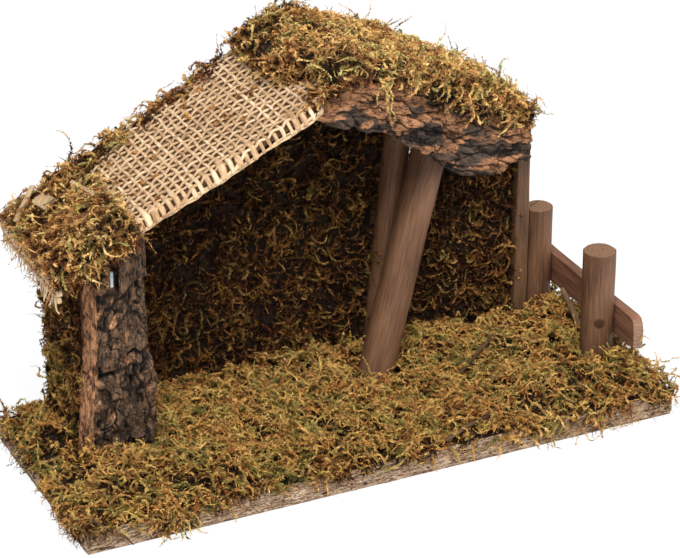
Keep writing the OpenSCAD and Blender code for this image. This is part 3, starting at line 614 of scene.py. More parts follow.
def leaves(line, ahead, rng, size):
    """Small pointed leaves all round the strands. Returns their corners, three for each."""
    share = np.linspace(0, 1, line.shape[1])[None, :, None, None]
    shape = (*line.shape[:2], LEAVES_PER_POINT, 1)
    forward = np.broadcast_to(ahead[:, :, None, :], (*shape[:3], 3))
    outward = rng.normal(size=forward.shape)
    outward = unit(outward - forward * dot(outward, forward)[..., None])
    long = size * MM * rng.uniform(0.6, 1.4, shape) * (1.1 - 0.75 * share)
    root = line[:, :, None, :] + forward * rng.uniform(-0.3, 0.3, shape) * long
    side = np.cross(forward, outward) * LEAF_WIDTH * long
    lean = forward * rng.uniform(0.4, 1.0, shape)
    tip = root + (lean + outward * rng.uniform(0.4, 0.9, shape)) * long
    return np.stack([root - side, root + side, tip], 3)


def blades(line, ahead, normals, rng):
    """Thin flat strands that narrow towards their tips, as corners of triangles."""
    tilt = 0.6 * rng.normal(size=normals.shape)
    side = unit(np.cross(ahead, normals[:, None, :] + tilt[:, None, :]))
    share = np.linspace(0, 1, line.shape[1])[None, :, None]
    thick = rng.uniform(0.6, 1.4, (len(line), 1, 1))
    half = side * FIBRE_WIDTH * 0.5 * MM * thick * (1.05 - share ** 2)
    left, right = line - half, line + half
    first = np.stack([left[:, :-1], right[:, :-1], right[:, 1:]], 2)
    second = np.stack([left[:, :-1], right[:, 1:], left[:, 1:]], 2)
    return np.stack([first, second], 2)


def strands(roots, normals, seed, tone, hang, shares, raised):
    """Strands of each kind on roots. tone is the middle of their tints, hang is how much they
    bend down, and raised is how far the clump under each root stands out; the higher the
    clump, the less painted shade its strands get. Returns the corners of triangles, and what
    those keep: along and height, which set painted shade in the material, and tint."""
    rng = dice(seed)
    patch = 0.34 * noise(roots, 16, seed + 9, 2) + 0.16 * noise(roots, 5, seed + 11)
    parts, first = [], 0
    for name, kind in KINDS.items():
        last = first + int(round(len(roots) * shares[name]))
        chosen = slice(first, last)
        first = last
        line, ahead, ground, under, tint = spines(
            roots[chosen], normals[chosen], rng, hang, **kind)
        tint = tint + tone + np.repeat(patch[chosen], kind["each"])
        if name in LEAF_LENGTHS:
            corners = leaves(line, ahead, rng, LEAF_LENGTHS[name])
            tint = tint + kind["lift"] * 0.08
            spread = rng.normal(0, 0.04, corners.shape[:4])
            tint = np.clip(tint[:, None, None, None] + spread, 0, 0.92)
        else:
            corners = blades(line, ahead, under, rng)
            straw = rng.random(len(line)) < 0.3
            tint = np.where(straw, 1.0, np.clip(tint - 0.2, 0, 0.9))[:, None, None, None]
        along = np.linspace(0, 1, corners.shape[1])[None, :, None, None]
        # height is how high each corner stands in the cushion; the material darkens low corners as
        # painted shade
        over = dot(corners - ground[:, None, None, None, :], under[:, None, None, None, :])
        over = over + np.repeat(raised[chosen], kind["each"])[:, None, None, None]
        height = np.clip((over + 0.8 * MM) / (3.6 * MM), 0, 1)
        same = corners.shape[:4]
        parts.append((
            corners.reshape(-1, 3), np.broadcast_to(along, same).ravel(), height.ravel(),
            np.broadcast_to(tint, same).ravel(),
        ))
    return (np.concatenate(v) for v in zip(*parts))


def moss_bed(node):
    """The dark mat under the strands: the moss node, sunk and roughened. Its almost black colour
    is partly the moss's dark brown and partly painted shade in the gaps.
    """
    made = new_mesh(node + "_bed", *triangles_of(node), SHADED_MOSS_BED)
    welded(made, cuts=2)
    mesh = made.data
    co, normal = points_of(mesh)
    free = 1 - ease(normal @ np.array(BACKINGS[node], float), 0.2, 0.6)
    rough = 0.8 * MM * noise(co, 2.5, 3, 2)
    co = co - normal * ((BED_SINK + rough) * free)[:, None]
    mesh.vertices.foreach_set("co", co.ravel())
    mesh.update()
    return piece(made, node)


def inside_box(points):
    """Keeps strands near the CAD box and off the floor."""
    low, high = np.array(cad_box[0]) - SPARE, np.array(cad_box[1]) + SPARE
    low[2] = 0.3 * MM
    return np.clip(points, low, high)


def moss_piece(name, node, points, material, along, height, tint):
    """A piece made of loose triangles that stands for a moss node. along and height set the
    painted shade of its strands.
    """
    faces = np.arange(len(points)).reshape(-1, 3)
    values = {"tint": tint, "along": along, "height": height}
    return piece(new_mesh(name, points, faces, material, values), node)


def tufted(name, node, roots, normals, seed, limit, tone, hang=0.0, material=MOSS_STRAND,
           shares=ROOF_SHARES, raised=None):
    """Strands on roots, as a piece that stands for a moss node. limit(points) keeps them out
    of what the moss is glued to."""
    if raised is None:
        raised = np.full(len(roots), 0.6 * MM)
    points, *values = strands(roots, normals, seed, tone, hang, shares, raised)
    return moss_piece(name, node, limit(inside_box(points)), material, *values)


def sprigs(name, node, paths, seed, tone):
    """Single long strands of moss along paths of points in millimetres."""
    rng = dice(seed)
    parts = []
    for path in paths:
        path = np.array(path, float) * MM
        share = np.linspace(0, len(path) - 1, 10 * len(path))
        line = np.stack([np.interp(share, np.arange(len(path)), path[:, k]) for k in range(3)], -1)
        line = line + 0.9 * MM * warp(line, 4, seed, 2)
        ahead = unit(np.gradient(line, axis=0))
        parts.append(leaves(line[None], ahead[None], rng, LEAF_LENGTHS["sprig"]).reshape(-1, 3))
    points = inside_box(np.concatenate(parts))
    count = len(points)
    tint = np.clip(tone + np.repeat(rng.normal(0, 0.08, count // 3), 3), 0, 0.92)
    # The sprigs all get one fixed painted shade, from fixed along and height values
    moss_piece(name, node, points, MOSS_STRAND, np.full(count, 0.6), np.full(count, 0.85), tint)


def moss(node, tufts, seed, clumps, across=8, parts=1, **look):
    """The strands of one moss node. clumps is how far its clumps stand out, and across is
    their size, both in millimetres. They are split over parts, which keeps each mesh small."""
    for part in range(parts):
        rng = dice(seed + 1000 * part)
        roots, normals = roots_on(node, tufts // parts, rng)
        clump = noise(roots, across, seed + 5, 2) + 0.3
        raised = clumps * MM * np.sign(clump) * np.abs(clump) ** 0.8
        roots = roots + normals * (raised - 1.6 * MM)[:, None]
        name = f"{node}_strands_{part + 1}"
        tufted(name, node, roots, normals, seed + 1000 * part, raised=raised - 0.4 * MM, **look)


def moss_rim():
    """Moss that hangs over the edges of the base board, in patches. Each patch is a number of
    tufts, the box that their roots lie in, in millimetres, the way that they point, and the
    least noise at which one grows."""
    rng = dice(19)
    patches = (
        (60, (-150, -30, 11), (-150, 48, 13), (-0.5, 0.0, 0.9), -0.1),
        (110, (-150, -52, 3), (-150, -16, 13), (-1.0, 0.0, 0.5), -0.5),
        (340, (-150, -57, 10.5), (150, -57, 13), (0.0, -1.0, 0.8), 0.0),
        (40, (-118, -57, 3), (-100, -57, 12), (0.0, -1.0, 0.5), -1.0),
        (40, (70, -57, 8), (110, -57, 13), (0.0, -1.0, 0.5), -1.0),
    )
    roots, normals = [], []
    for count, low, high, way, least in patches:
        places = rng.uniform(low, high, (count, 3)) * MM
        places = places[noise(places, 13, 20) > least]
        roots.append(places)
        normals.append(np.tile(way, (len(places), 1)))
    tufted("floor_moss_rim", "floor_moss", np.concatenate(roots), unit(np.concatenate(normals)),
           22, off_board, tone=0.38, hang=0.1, shares=RIM_SHARES)


def loose_sprigs():
    """The few long strands that stand out from the moss."""
    sprigs("floor_moss_sprigs", "floor_moss", (
        ((104, -57.5, 12), (108, -59, 4), (116, -60, 1.2), (125, -60, 1.6), (134, -59, 2)),
        ((146, -24, 14), (151, -34, 17), (154, -44, 21), (156, -52, 27), (155, -57, 24)),
        ((150, -38, 13), (153, -46, 16), (155, -55, 18), (157, -57, 21)),
        ((-150, -26, 12), (-154, -30, 9), (-155, -33, 5)),
        ((139, -32, 14), (141, -35, 26), (145, -36, 33), (148, -36, 31)),
    ), 26, tone=0.66)
    hanging = []
    for k, dx in enumerate((0.0, 1.2, -1.4)):
        end = (19.5, -14.5, 159 + 3 * k)
        over_fascia = ((13, -16, 184), (17.5, -15, 175), (17, -15.5, 168), end)
        hanging.append([(x + dx, y - 1.6 - 0.5 * k, z) for x, y, z in over_fascia])
    sprigs("right_roof_moss_sprigs", "right_roof_moss", hanging, 27, tone=0.62)


def ridge_rim():
    """Moss at the front of the ridge, over the corner of the cloth, and crumbs of it that
    lie on the cloth."""
    rng = dice(28)
    count = 170
    x = rng.uniform(-24 * MM, -2 * MM, count)
    y = roof_front(x) + rng.uniform(-2.5, 5, count) * MM
    roots = np.stack([x, y, roof_top(x) + ON_CLOTH], -1)
    normals = np.tile([-0.45, -0.35, 0.82], (count, 1))
    tufted("ridge_moss_rim", "ridge_moss", roots, unit(normals), 29, above_roof, tone=0.28,
           hang=0.03, shares=RIM_SHARES)
    crumbs = []
    for _ in range(26):
        x, y = rng.uniform(-104, -34), rng.uniform(-12, 44)
        start = np.array([x, y, roof_top(x * MM) / MM + 2.6])
        along = unit(rng.normal(size=3) * (1, 1, 0.1)) * rng.uniform(1.5, 4)
        along[2] += math.tan(SLOPE) * along[0]
        crumbs.append((start, start + along))
    sprigs("ridge_moss_crumbs", "ridge_moss", crumbs, 31, tone=0.3)


def eave_rim():
    """Moss that hangs over the cloth's front edge at the eave, and bits of it along the
    cloth's rear edge."""
    rng = dice(23)
    count = 300
    x = rng.uniform(-EAVE_X - 1 * MM, -108 * MM, count)
    drop = rng.uniform(0, 3.5 * MM, count)
    front = np.stack([x, roof_front(x) - 5.0 * MM, roof_top(x) + ON_CLOTH - drop], -1)
    count = 260
    x = rng.uniform(-100 * MM, -26 * MM, count)
    y = ROOF_BACK - rng.uniform(0, 7 * MM, count)
    rear = np.stack([x, y, roof_top(x) + ON_CLOTH], -1)
    rear = rear[noise(rear, 8, 24, 2) > 0.12]
    roots = np.concatenate([front, rear])
    normals = np.repeat([[-0.2, -1.0, 0.35], [-0.48, 0.0, 0.88]], (len(front), len(rear)), axis=0)
    tufted("left_eave_moss_rim", "left_eave_moss", roots, unit(normals), 25, above_roof,
           tone=0.28, hang=0.06, shares=RIM_SHARES)


def over_board(points):
    return (np.abs(points[:, 0]) < BASE_HALF_L) & (np.abs(points[:, 1]) < BASE_HALF_W)


def off_board(points):
    """Off the base board, above its top or outside its sides."""
    inside = over_board(points) & (points[:, 2] < BASE_T)
    top = inside & (points[:, 2] > BASE_T - 2 * MM)
    left = inside & ~top & (points[:, 0] < -BASE_HALF_L + 3 * MM)
    front = inside & ~top & ~left
    points[top, 2] = BASE_T + CLEAR
    points[left, 0] = -BASE_HALF_L - CLEAR
    points[front, 1] = -BASE_HALF_W - CLEAR
    return points


def above_floor(points):
    """Off the base board's top, where a strand is over the board."""
    over = over_board(points)
    points[over, 2] = np.maximum(points[over, 2], BASE_T + CLEAR)
    return points


def before_wall(points):
    points[:, 1] = np.minimum(points[:, 1], WALL_Y - CLEAR)
    return points


def left_of_wall(points):
    points[:, 0] = np.minimum(points[:, 0], -HOUSE_HALF - CLEAR)
    return points


def above_roof(points):
    """Off the roof boards, where a strand is over them."""
    x, y, z = points.T
    top = roof_top(x) + 0.3 * MM
    over = (x > -EAVE_X) & (y > roof_front(x)) & (y < ROOF_BACK) & (z > top - 4 * MM)
    points[over, 2] = np.maximum(z[over], top[over])
    return points


# Bark

def layers(place, size, seed, count=2.6):
    """Thin layers that broke off one over another: how many lie at each point, and 0 along
    the foot of each broken edge, where the bark gets painted shade."""
    depth = noise(place, size, seed, 3) * count
    whole = np.floor(depth)
    rise = depth - whole
    foot_shade = np.maximum(ease(rise, 0.86, 0.97), ease(rise, 0.1, 0.0))
    return whole + ease(rise, 0, 0.16), 1 - foot_shade


def blob(points, middle, size):
    """1 around a place, and 0 outside. Both are in millimetres."""
    return ease(np.linalg.norm((points / MM - middle) / np.array(size), axis=1), 1.0, 0.4)


# Places on the post and the fascia, in millimetres
HOLLOW, KNOB, LUMP = (-123.5, -9, 61.5), (-101, -9.5, 62), (-123, -7.5, 111)
LIGHT_SPOT = (5.9, -16.5, 162.6)
# Where the post's sawn face fades out upwards, and the strip of bare wood above it
SAWN_FADE, STRIP_FADE = (106 * MM, 102 * MM), (101 * MM, 104 * MM)
STRIP_X, STRIP_WIDTH = -117 * MM, 2.4 * MM


def post_bark(points, normals):
    """Rough layered bark with long fissures in front, and a crumbly sawn face on the left."""
    place = points + warp(points, 8, 31, 2) * 3.0 * MM
    level, foot_shade = layers(place, (6, 6, 15), 33)
    small, small_foot_shade = layers(place, (2.2, 2.2, 5), 35)
    fissure = ease(np.abs(noise(place, (5, 5, 26), 37, 2)), 0.02, 0.09)
    number, crack_and_shade = plates(place, (13, 10, 22), 39)
    fine = noise(points, 0.9, 43, 3)
    hollow = blob(points, HOLLOW, (3.2, 4.0, 4.6))
    knob = blob(points, KNOB, (5.0, 6.0, 6.5)) + 0.8 * blob(points, LUMP, (3.2, 5.0, 6.5))
    rough = noise(place, (2.6, 2.6, 3.4), 44, 3)
    bark = 0.5 * level + 0.4 * small + 1.3 * (fissure - 1) + 1.4 * (crack_and_shade - 1)
    bark = bark + 1.6 * (number - 0.5) + 0.5 * fine + 0.6 * rough + 1.8 * knob
    sawn = ease(-normals[:, 0] + 0.25 * noise(points, 3, 47, 2), 0.5, 0.75)
    sawn = sawn * ease(points[:, 2], *SAWN_FADE)
    strip = np.exp(-((points[:, 0] - STRIP_X) / STRIP_WIDTH) ** 2)
    strip = strip * ease(points[:, 2], *STRIP_FADE) * ease(noise(points, 3, 48, 2), -0.6, 0.0)
    crumbs = 1.1 * noise(points, (2.0, 2.0, 3.0), 45, 3)
    move = mix(bark, crumbs, sawn) - 2.6 * hollow
    flecks = ease(noise(place, (2.4, 2.4, 7.0), 46, 3), 0.26, 0.6) * 0.6
    rust = np.clip(np.maximum(sawn, np.maximum(strip, flecks)), 0, 1)
    # Painted shade: dark in fissures, at the foot of each broken layer, in the cracks between
    # plates, in the low spots of the rough bark, in the pits of the sawn face and in the hollow
    dark = fissure * mix(0.35, 1, foot_shade) * mix(0.5, 1, small_foot_shade) * mix(0.1, 1, crack_and_shade)
    dark = dark * mix(0.4, 1, ease(rough, -0.6, -0.2))
    dents = crumbs + 0.6 * noise(points, (1.0, 1.0, 1.8), 49, 2)
    dark = mix(dark, 0.1 + 0.9 * ease(dents, -0.65, 0.2), sawn) * (1 - 0.95 * hollow)
    tone = mix(number, 0.6, sawn)
    return move * MM, {"rust": rust, "crack_and_shade": dark, "tone": tone, "grain": points / MM}


FASCIA_FRONT = -unit(np.array([-FASCIA_RUN[1], FASCIA_RUN[0], 0.0]))


def fascia_bark(points, normals):
    """Layers of bark broken into long plates, and a sawn bevel at the left end."""
    local = measured(points, FASCIA_TIP, FASCIA_RUN, FASCIA_FRONT)
    sway = warp(local, 6, 51, 3)
    place = local + sway * np.array([1.6, 1.2, 4.0]) * MM
    u = local[:, 2]
    smooth_end = ease(u, 9 * MM, 13 * MM) * ease(u, 34 * MM, 24 * MM)
    smooth_end = smooth_end * ease(local[:, 0], -8 * MM, -4 * MM)
    level, foot_shade = layers(place, (6.0, 8, 34), 53, 2.2)
    small, small_foot_shade = layers(place, (1.8, 4, 14), 55, 2.0)
    number, crack_and_shade = plates(place, (6.5, 14, 30), 57)
    fissure = ease(np.abs(noise(place, (3.6, 5, 34), 59, 2)), 0.01, 0.09)
    fibres = noise(place, (0.7, 0.9, 9), 63, 3)
    fine = noise(local, 0.8, 67, 2)
    relief = 0.5 * level + 0.3 * small * (1 - smooth_end) + 0.9 * (number - 0.5)
    relief = relief + 1.3 * (crack_and_shade - 1) + 1.0 * (fissure - 1) * (1 - smooth_end) + 0.5 * fibres
    bevel = ease(normals[:, 2] - 0.9 * normals @ unit(FASCIA_RUN), 0.35, 0.6)
    bevel = bevel * ease(u, 34 * MM, 26 * MM)
    bevel = np.maximum(bevel, ease(u + 1.5 * MM * sway[:, 0], 11.5 * MM, 9.5 * MM))
    spot = ease(blob(points, LIGHT_SPOT, (4.6, 6.0, 2.7)), 0.1, 0.5)
    move = mix(relief, 0.3 * noise(local, 1.4, 69, 2), bevel) + 0.3 * fine + 0.5 * spot
    lower = ease(local[:, 0], -4 * MM, 9 * MM)
    inner = noise(place, (3.4, 8, 17), 61, 3) + 0.5 * (number - 0.5) + 0.16
    inner = inner - 0.34 * lower - 0.9 * smooth_end
    rust = np.clip(ease(inner, -0.14, 0.12) + 0.3 * fibres, 0, 1)
    rust = np.maximum(np.maximum(rust, bevel), spot)
    # Painted shade: dark in the cracks between plates, in fissures, at the foot of each broken
    # layer and in the grooves between fibres; none on the bevel and the spot
    dark = mix(0.05, 1, crack_and_shade) * mix(0.05, 1, fissure) * mix(0.3, 1, foot_shade)
    dark = dark * mix(0.35, 1, small_foot_shade) * mix(0.45, 1, ease(fibres, -0.5, -0.15))
    dark = mix(dark, 1.0, np.maximum(bevel, spot))
    tone = mix(number, 0.9, bevel)
    return move * MM, {"rust": rust, "crack_and_shade": dark, "tone": tone, "grain": local / MM}


def plate_bark(points, normals):
    """A thin grey plate with furrows down its length, darkened in the furrows as painted shade."""
    furrow = np.abs(noise(points, (1.8, 1.8, 9), 71, 3))
    fine = noise(points, 0.8, 73, 2)
    move = 0.9 * (furrow - 0.25) + 0.15 * fine
    return move * MM, {
        "rust": ease(furrow, 0.45, 0.7) * 0.3, "crack_and_shade": ease(furrow, 0.0, 0.12),
        "tone": np.full(len(points), 0.75), "grain": points / MM,
    }


# Sticks, logs and boards

def stick(node, axis, material, voxel=0.6, ridge=0.2, knot=None):
    """A stick, log or board with its grain along an axis. voxel is the size of its mesh and
    ridge the height of its grain, in millimetres, and knot is a place on it in metres."""
    points, _ = triangles_of(node)
    start = (points.min(0) + points.max(0)) / 2
    direction = unit(np.asarray(axis, float))

    def shape(points, normals):
        local = measured(points, start, axis)
        grain = noise(local, (1.5, 1.5, 16), 81, 2)
        broad = noise(local, (7, 7, 26), 83)
        end = ease(np.abs(normals @ direction), 0.75, 0.92)
        round_off = 0.3 * noise(points, 2.5, 85, 2)
        dark = np.zeros(len(points))
        if knot is not None:
            far = np.linalg.norm((points - np.array(knot)) / MM, axis=1)
            dark = ease(far, 3.2, 1.8)
        move = mix(ridge * grain + 0.3 * broad, round_off, end) + 0.5 * dark
        return move * MM, {"end": end, "knot": dark, "grain": local / MM}

    return carved(node, voxel * MM, shape, material)


def crumbly(points, normals):
    """The rough sides of the chipboard: pits, fibres and worn edges. The pits are also darkened in
    the material as painted shade.
    """
    side = ease(np.abs(normals[:, 2]), 0.7, 0.4)
    pits = ease(noise(points, (3.4, 3.4, 1.1), 91, 3), 0.22, 0.6)
    rough = noise(points, (3.0, 3.0, 1.0), 93, 3)
    dents = noise(points, (9.0, 9.0, 5.0), 95, 2)
    move = side * (0.5 * rough - 1.0 * pits + 0.5 * dents + 0.15)
    return move * MM, {"pit_shade": pits * side}


# Burlap

DOWN_SLOPE = np.array([-math.cos(SLOPE), 0, -math.sin(SLOPE)])
SLOPE_L = EAVE_X / math.cos(SLOPE)
BURLAP_L = SLOPE_L + BURLAP_DROP
BURLAP_FOLD = 3 * MM
# Under the ridge moss the cloth has no fold in front, and stays back from its front edge
UNDER_MOSS, TUCKED = 24 * MM, 5 * MM
# The distance between threads, and between the rings of a thread
THREAD_GAP, THREAD_STEP = 3.9 * MM, 0.9 * MM
THREAD_SIDES, THREAD_FLATNESS = 6, 0.7
# The height of the middle of the weave over its underside, and how far threads rise from it
WEAVE_MIDDLE, WEAVE_HEIGHT = 0.8 * MM, 0.42 * MM
FRONT_STRAYS, FUZZ = 3, 1300


def on_line(along, across=0.0):
    """Points along a line, for noise that goes with a thread."""
    return np.stack([along, np.full_like(along, across), np.zeros_like(along)], -1)


def burlap_front_edge(a):
    """How far along Y the cloth's front edge is, a down the slope."""
    edge = roof_front(-np.minimum(a * math.cos(SLOPE), EAVE_X))
    return edge - BURLAP_FRONT - 0.7 * MM * (1 + noise(on_line(a), 11, 101))


def burlap_place(a, b, h):
    """A place on the cloth: a down the slope from the ridge, b from front to back, h above
    its underside. Past its edges it bends down over the eave and over the front."""
    hang = np.maximum(a - SLOPE_L, 0)
    turn = SLOPE + math.radians(60) * ease(hang, 0, BURLAP_DROP / 2)
    flat = np.minimum(a, SLOPE_L)[..., None] * DOWN_SLOPE
    front = burlap_front_edge(a)
    over = np.maximum(front - b, 0)
    zero = np.zeros_like(turn)
    fall = np.stack([-np.cos(turn), zero, -np.sin(turn)], -1)
    out = np.stack([-np.sin(turn), zero, np.cos(turn)], -1)
    out = unit(mix(out, np.array([0, -1.0, 0]), ease(over, 0, 1.5 * MM)[..., None]))
    start = flat + fall * hang[..., None] + out * (h + 0.3 * MM)[..., None]
    start[..., 1] += np.maximum(b, front)
    start[..., 2] += RIDGE - over
    return start, out


def woven(name, threads):
    """A piece of the cloth from closed tubes, a little flat. A thread is its path, the way
    out of the cloth along it, its radii and its tint."""
    points, faces, tint, grain, first = [], [], [], [], 0
    angles = np.arange(THREAD_SIDES) * 2 * math.pi / THREAD_SIDES
    c, s = np.cos(angles), np.sin(angles)
    for path, out, radius, tone in threads:
        ahead = unit(np.gradient(path, axis=0))
        across = unit(np.cross(ahead, out))
        up = np.cross(across, ahead)
        ring = c[None, :, None] * across[:, None]
        ring = ring + THREAD_FLATNESS * s[None, :, None] * up[:, None]
        points.append((path[:, None] + ring * radius[:, None, None]).reshape(-1, 3))
        n = len(path)
        far = np.concatenate([[0], np.cumsum(np.linalg.norm(np.diff(path, axis=0), axis=1))])
        around = np.stack([c, s], -1) * 0.6
        grain.append(np.concatenate([
            np.broadcast_to(around[None], (n, THREAD_SIDES, 2)) + 3 * first / 97.0,
            np.broadcast_to((far / MM)[:, None, None], (n, THREAD_SIDES, 1)),
        ], -1).reshape(-1, 3))
        tint.append(np.full(n * THREAD_SIDES, tone))
        i = np.arange(n - 1)[:, None] * THREAD_SIDES
        j = np.arange(THREAD_SIDES)[None]
        k = (j + 1) % THREAD_SIDES
        body = np.stack([i + j, i + k, i + THREAD_SIDES + k, i + THREAD_SIDES + j], -1)
        last = (n - 1) * THREAD_SIDES
        # Two faces close each end of a tube with six sides
        caps = np.array([[3, 2, 1, 0], [5, 4, 3, 0], [last, last + 1, last + 2, last + 3],
                         [last, last + 3, last + 4, last + 5]])
        faces.append(np.concatenate([body.reshape(-1, 4), caps]) + first)
        first += n * THREAD_SIDES
    kept = {"tint": np.concatenate(tint), "grain": np.concatenate(grain)}
    made = new_mesh(name, np.concatenate(points), np.concatenate(faces), BURLAP, kept, smooth=True)
    return piece(made, "burlap_cover")


def thread_radius(along, seed):
    """A thread's radius along it, with thick and thin stretches."""
    where = on_line(along, seed * 7.31 * MM)
    return (0.82 + 0.24 * noise(where, 8, 103, 2) + 0.14 * noise(where, 1.4, 104)) * MM


def drift(along, line, seed):
    """How far a thread strays sideways."""
    return 1.1 * MM * noise(on_line(along, line), (14, 7, 7), seed, 2)


def burlap():
    """The woven cloth: threads down the slope over and under threads across it. Its front is
    bunched, with a few stray threads along it, and the threads down the slope end where they
    meet the slanted edge."""
    rng = dice(105)
    threads = []
    lines_b = np.arange(-ROOF_FRONT - BURLAP_FRONT - BURLAP_FOLD, ROOF_BACK, THREAD_GAP)
    lines_a = np.arange(1.5 * MM, BURLAP_L, THREAD_GAP)
    a = np.arange(0.2 * MM, BURLAP_L, THREAD_STEP)
    edge = burlap_front_edge(a)
    for i, line in enumerate(lines_b):
        b = line + drift(a, line, 106)
        kept = b > edge + np.where(a > UNDER_MOSS, -BURLAP_FOLD, TUCKED)
        if kept.sum() < 6:
            continue
        bunched = ease(b - edge, 9 * MM, 1 * MM)
        phase = math.pi * (a - lines_a[0]) / THREAD_GAP + math.pi * i
        lump = bunched * 1.1 * MM * np.abs(np.sin(a / (2.3 * MM)))
        path, out = burlap_place(a, b, WEAVE_MIDDLE + WEAVE_HEIGHT * np.cos(phase) + lump)
        threads.append((path[kept], out[kept], thread_radius(a, i)[kept], rng.uniform(0.3, 0.65)))
    back = ROOF_BACK - 0.5 * MM
    for i, line in enumerate(lines_a):
        edge = burlap_front_edge(np.array([line]))[0]
        front = edge - (BURLAP_FOLD if line > UNDER_MOSS else -TUCKED)
        b = np.arange(front, back, THREAD_STEP)
        phase = math.pi * (b - lines_b[0]) / THREAD_GAP + math.pi * i
        bunched = ease(b - edge, rng.uniform(4, 14) * MM, 2 * MM)
        lump = bunched * 0.8 * MM * rng.uniform(0.0, 1.2)
        height = WEAVE_MIDDLE - WEAVE_HEIGHT * np.cos(phase) * (1 - bunched) + lump
        path, out = burlap_place(line + drift(b, line, 107), b, height)
        radius = thread_radius(b, i + 50) * (1 + rng.uniform(0.0, 1.1) * bunched)
        threads.append((path, out, radius, rng.uniform(0.3, 0.8)))
    a = np.arange(UNDER_MOSS, SLOPE_L - 16 * MM, THREAD_STEP)
    for i in range(FRONT_STRAYS):
        where = on_line(a, i * 37 * MM)
        stray = 0.6 * i - 0.4 + 0.8 * noise(where, 6, 109, 2)
        b = burlap_front_edge(a) - BURLAP_FOLD + stray * MM
        path, out = burlap_place(a, b, (1.3 + 0.7 * noise(where, 5, 110, 2)) * MM)
        threads.append((path, out, thread_radius(a, i + 90) * 0.62, 0.55))
    return woven("burlap_weave", threads)


def burlap_fringe():
    """Loose ends below the eave, some of them thick, others at the rear, and stray fibres all
    over the cloth."""
    rng = dice(108)
    threads = []
    share = np.linspace(0, 1, 9)

    def loose(a, b, da, db, length, radius, lift):
        """A loose thread from a, b in the direction da, db, which lifts off the cloth."""
        sway = rng.normal(0, 0.35) * share ** 2 * length
        at_a = a + da * length * share + db * sway
        at_b = b + db * length * share + da * sway
        height = (0.8 + lift * share * rng.uniform(0.2, 1)) * MM
        radii = radius * MM * (1 - 0.55 * share)
        threads.append((*burlap_place(at_a, at_b, height), radii, rng.uniform(0.4, 0.9)))

    low = BURLAP_L - 1 * MM
    corner = burlap_front_edge(np.array([BURLAP_L]))[0]
    for b in np.arange(corner, ROOF_BACK, THREAD_GAP):
        for _ in range(3):
            at = b + rng.uniform(-0.8, 0.8) * MM
            loose(low, at, 1, 0, rng.uniform(3, 7.5) * MM, 0.3, 1.2)
    for b in (1 * MM, 4 * MM, 11 * MM, 13 * MM):
        loose(low, corner + b, 1, 0, rng.uniform(6, 9) * MM, 0.9, 0.5)
    for a in np.arange(30 * MM, SLOPE_L, THREAD_GAP):
        loose(a, ROOF_BACK - 1 * MM, 0, 1, rng.uniform(1, 2.6) * MM, 0.35, 0.4)
    for _ in range(FUZZ):
        turn = rng.uniform(0, 2 * math.pi)
        a = rng.uniform(20 * MM, BURLAP_L)
        b = rng.uniform(burlap_front_edge(np.array([a]))[0] + 4 * MM, ROOF_BACK - 4 * MM)
        loose(a, b, math.cos(turn), math.sin(turn), rng.uniform(2, 5.5) * MM, 0.1, 1.2)
    return woven("burlap_fringe", threads)


# The pieces of the stable

def moss_pieces():
    """The beds of all the moss, and then its strands."""
    for node in BACKINGS:
        moss_bed(node)
    moss("right_roof_moss", 2400, 11, 2.6, parts=2, limit=above_roof, tone=0.42)
    moss("ridge_moss", 560, 12, 2.6, limit=above_roof, tone=0.34)
    moss("left_eave_moss", 1000, 13, 2.4, limit=above_roof, tone=0.3, hang=0.03)
    ridge_rim()
    eave_rim()
    moss("floor_moss", 5800, 14, 6.4, across=9, parts=5, limit=above_floor, tone=0.47,
         hang=0.02, material=MOSS_FLOOR, shares=FLOOR_SHARES)
    moss_rim()
    loose_sprigs()
    # The moss inside the stable uses the copy darkened as painted shade
    inside = dict(limit=before_wall, tone=0.34, material=MOSS_INSIDE_SHADED, shares=INSIDE_SHARES)
    moss("rear_wall_moss_left", 3900, 16, 1.6, parts=3, **inside)
    moss("rear_wall_moss_right", 1500, 17, 1.6, **inside)
    moss("left_wall_moss", 950, 18, 2.0, limit=left_of_wall, tone=0.4, hang=0.04,
         material=MOSS_SIDE, shares=INSIDE_SHARES)


def bark_pieces():
    carved("bark_post", 0.5 * MM, post_bark, POST_BARK)
    carved("post_bark_plate", 0.35 * MM, plate_bark, POST_BARK)
    carved("bark_fascia", 0.5 * MM, fascia_bark, FASCIA_BARK)


def wood_pieces():
    stick("left_leaning_pole", (0.098, 0, 1), POLE)
    stick("right_leaning_pole", (0.325, 0.123, 1), POLE)
    stick("right_post", (0, 0, 1), DARK_STICK, voxel=0.5)
    stick("fence_post_front", (0, 0, 1), POLE, knot=(0.1290, -0.0214, 0.037))
    stick("fence_post_rear", (0, 0, 1), POLE)
    stick("fence_board", (0, 1, 0), FENCE, voxel=0.5)
    stick("light_twig", (0.37, 0.93, 0), DARK_TWIG, voxel=0.25, ridge=0.15)
    stick("dark_twig", (0.9, 0.43, 0), DARK_TWIG, voxel=0.25, ridge=0.15)
    stick("edge_twig", (0.8, -0.6, -0.1), DARK_TWIG, voxel=0.2, ridge=0.1)
    stick("fence_twig", (0, 0.75, 0.65), TWIG, voxel=0.3, ridge=0.25)
    stick("eave_chips", (0.7, 0.6, 0.35), CHIP, voxel=0.3, ridge=0.15)
    carved("base_board", 0.9 * MM, crumbly, chipboard_material())


def plain_pieces():
    dress(HARDBOARD, "rear_wall_left", "rear_wall_right", "left_wall", "left_roof_board",
          "right_roof_board")
    dress(NAIL_STEEL, "base_nails", "fence_nails")
    dress(GLUE, "post_glue", "pole_glue", "wall_glue")


def cloth():
    weave = burlap()
    fringe = burlap_fringe()


moss_pieces()
bark_pieces()
wood_pieces()
plain_pieces()
cloth()


# Floor, lights and camera

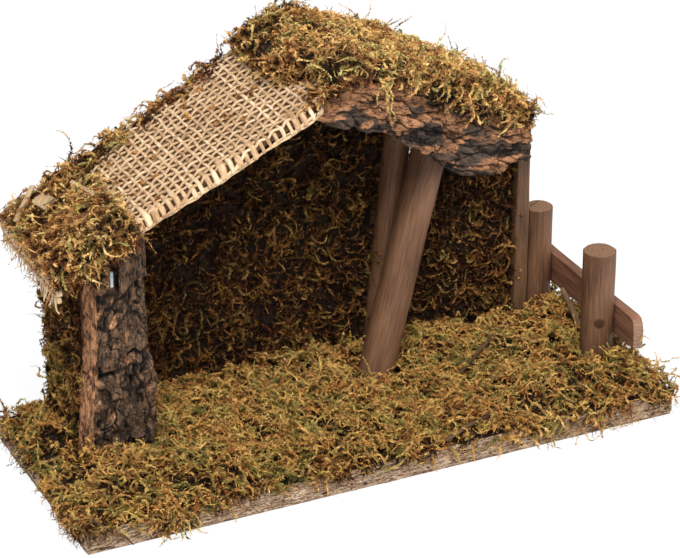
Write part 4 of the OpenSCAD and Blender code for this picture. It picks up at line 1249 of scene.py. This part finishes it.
# The strength of the light from all round, how bright the floor glows for the camera, and
# how much of its look there is that glow
DAYLIGHT, FLOOR_GLOW, GLOW_SHARE = 0.4, 1.06, 0.85


def stage():
    bpy.ops.mesh.primitive_plane_add(size=8, location=(0, 0, -0.0004))
    floor = bpy.context.object
    s = Shader("floor", 0.9)
    tree = s.tree
    output = tree.nodes["Material Output"]
    s.surface.inputs["Base Color"].default_value = (0.9, 0.9, 0.9, 1)
    glow = s.node("Emission", {"Color": (1, 1, 1, 1), "Strength": FLOOR_GLOW})
    path = s.node("LightPath").outputs["Is Camera Ray"]
    mixed = s.node("MixShader", {"Fac": s.maths("MULTIPLY", path, GLOW_SHARE)})
    tree.links.new(s.surface.outputs[0], mixed.inputs[1])
    tree.links.new(glow.outputs[0], mixed.inputs[2])
    tree.links.new(mixed.outputs[0], output.inputs["Surface"])
    floor.data.materials.append(s.material)


def aimed(name, data, place, look):
    """A lamp or a camera at a place that looks in a direction."""
    made = new_object(name, data)
    made.location = place
    made.rotation_euler = look.to_track_quat("-Z", "Y").to_euler()
    return made


def lamp(name, place, size, power):
    """A square lamp that points at the middle of the stable."""
    middle = Vector((0, 0, 0.08))
    data = bpy.data.lights.new(name, "AREA")
    data.size = size
    data.energy = power
    aimed(name, data, place, -Vector(place) + middle)


def world():
    made = bpy.data.worlds.new("studio")
    made.use_nodes = True
    tree = made.node_tree
    background = tree.nodes["Background"]
    background.inputs["Color"].default_value = (1, 1, 1, 1)
    path = tree.nodes.new("ShaderNodeLightPath")
    strength = tree.nodes.new("ShaderNodeMath")
    strength.operation = "MAXIMUM"
    tree.links.new(path.outputs["Is Camera Ray"], strength.inputs[0])
    strength.inputs[1].default_value = DAYLIGHT
    tree.links.new(strength.outputs[0], background.inputs["Strength"])
    bpy.context.scene.world = made


def camera():
    data = bpy.data.cameras.new("camera")
    focal_pixels, frame_pixels = 2990.6, 680
    data.lens = focal_pixels / frame_pixels * data.sensor_width
    data.clip_start, data.clip_end = 0.05, 20
    yaw, pitch = math.radians(25.47), math.radians(26.53)
    level = math.cos(pitch)
    look = Vector((level * math.sin(yaw), level * math.cos(yaw), -math.sin(pitch)))
    bpy.context.scene.camera = aimed("camera", data, (-0.5340, -1.1228, 0.6994), look)


stage()
world()
lamp("key", (-0.35, -0.75, 1.35), size=0.7, power=26)
lamp("fill", (0.9, -1.0, 0.7), size=1.0, power=6)
camera()
bpy.context.scene.view_settings.view_transform = "Standard"
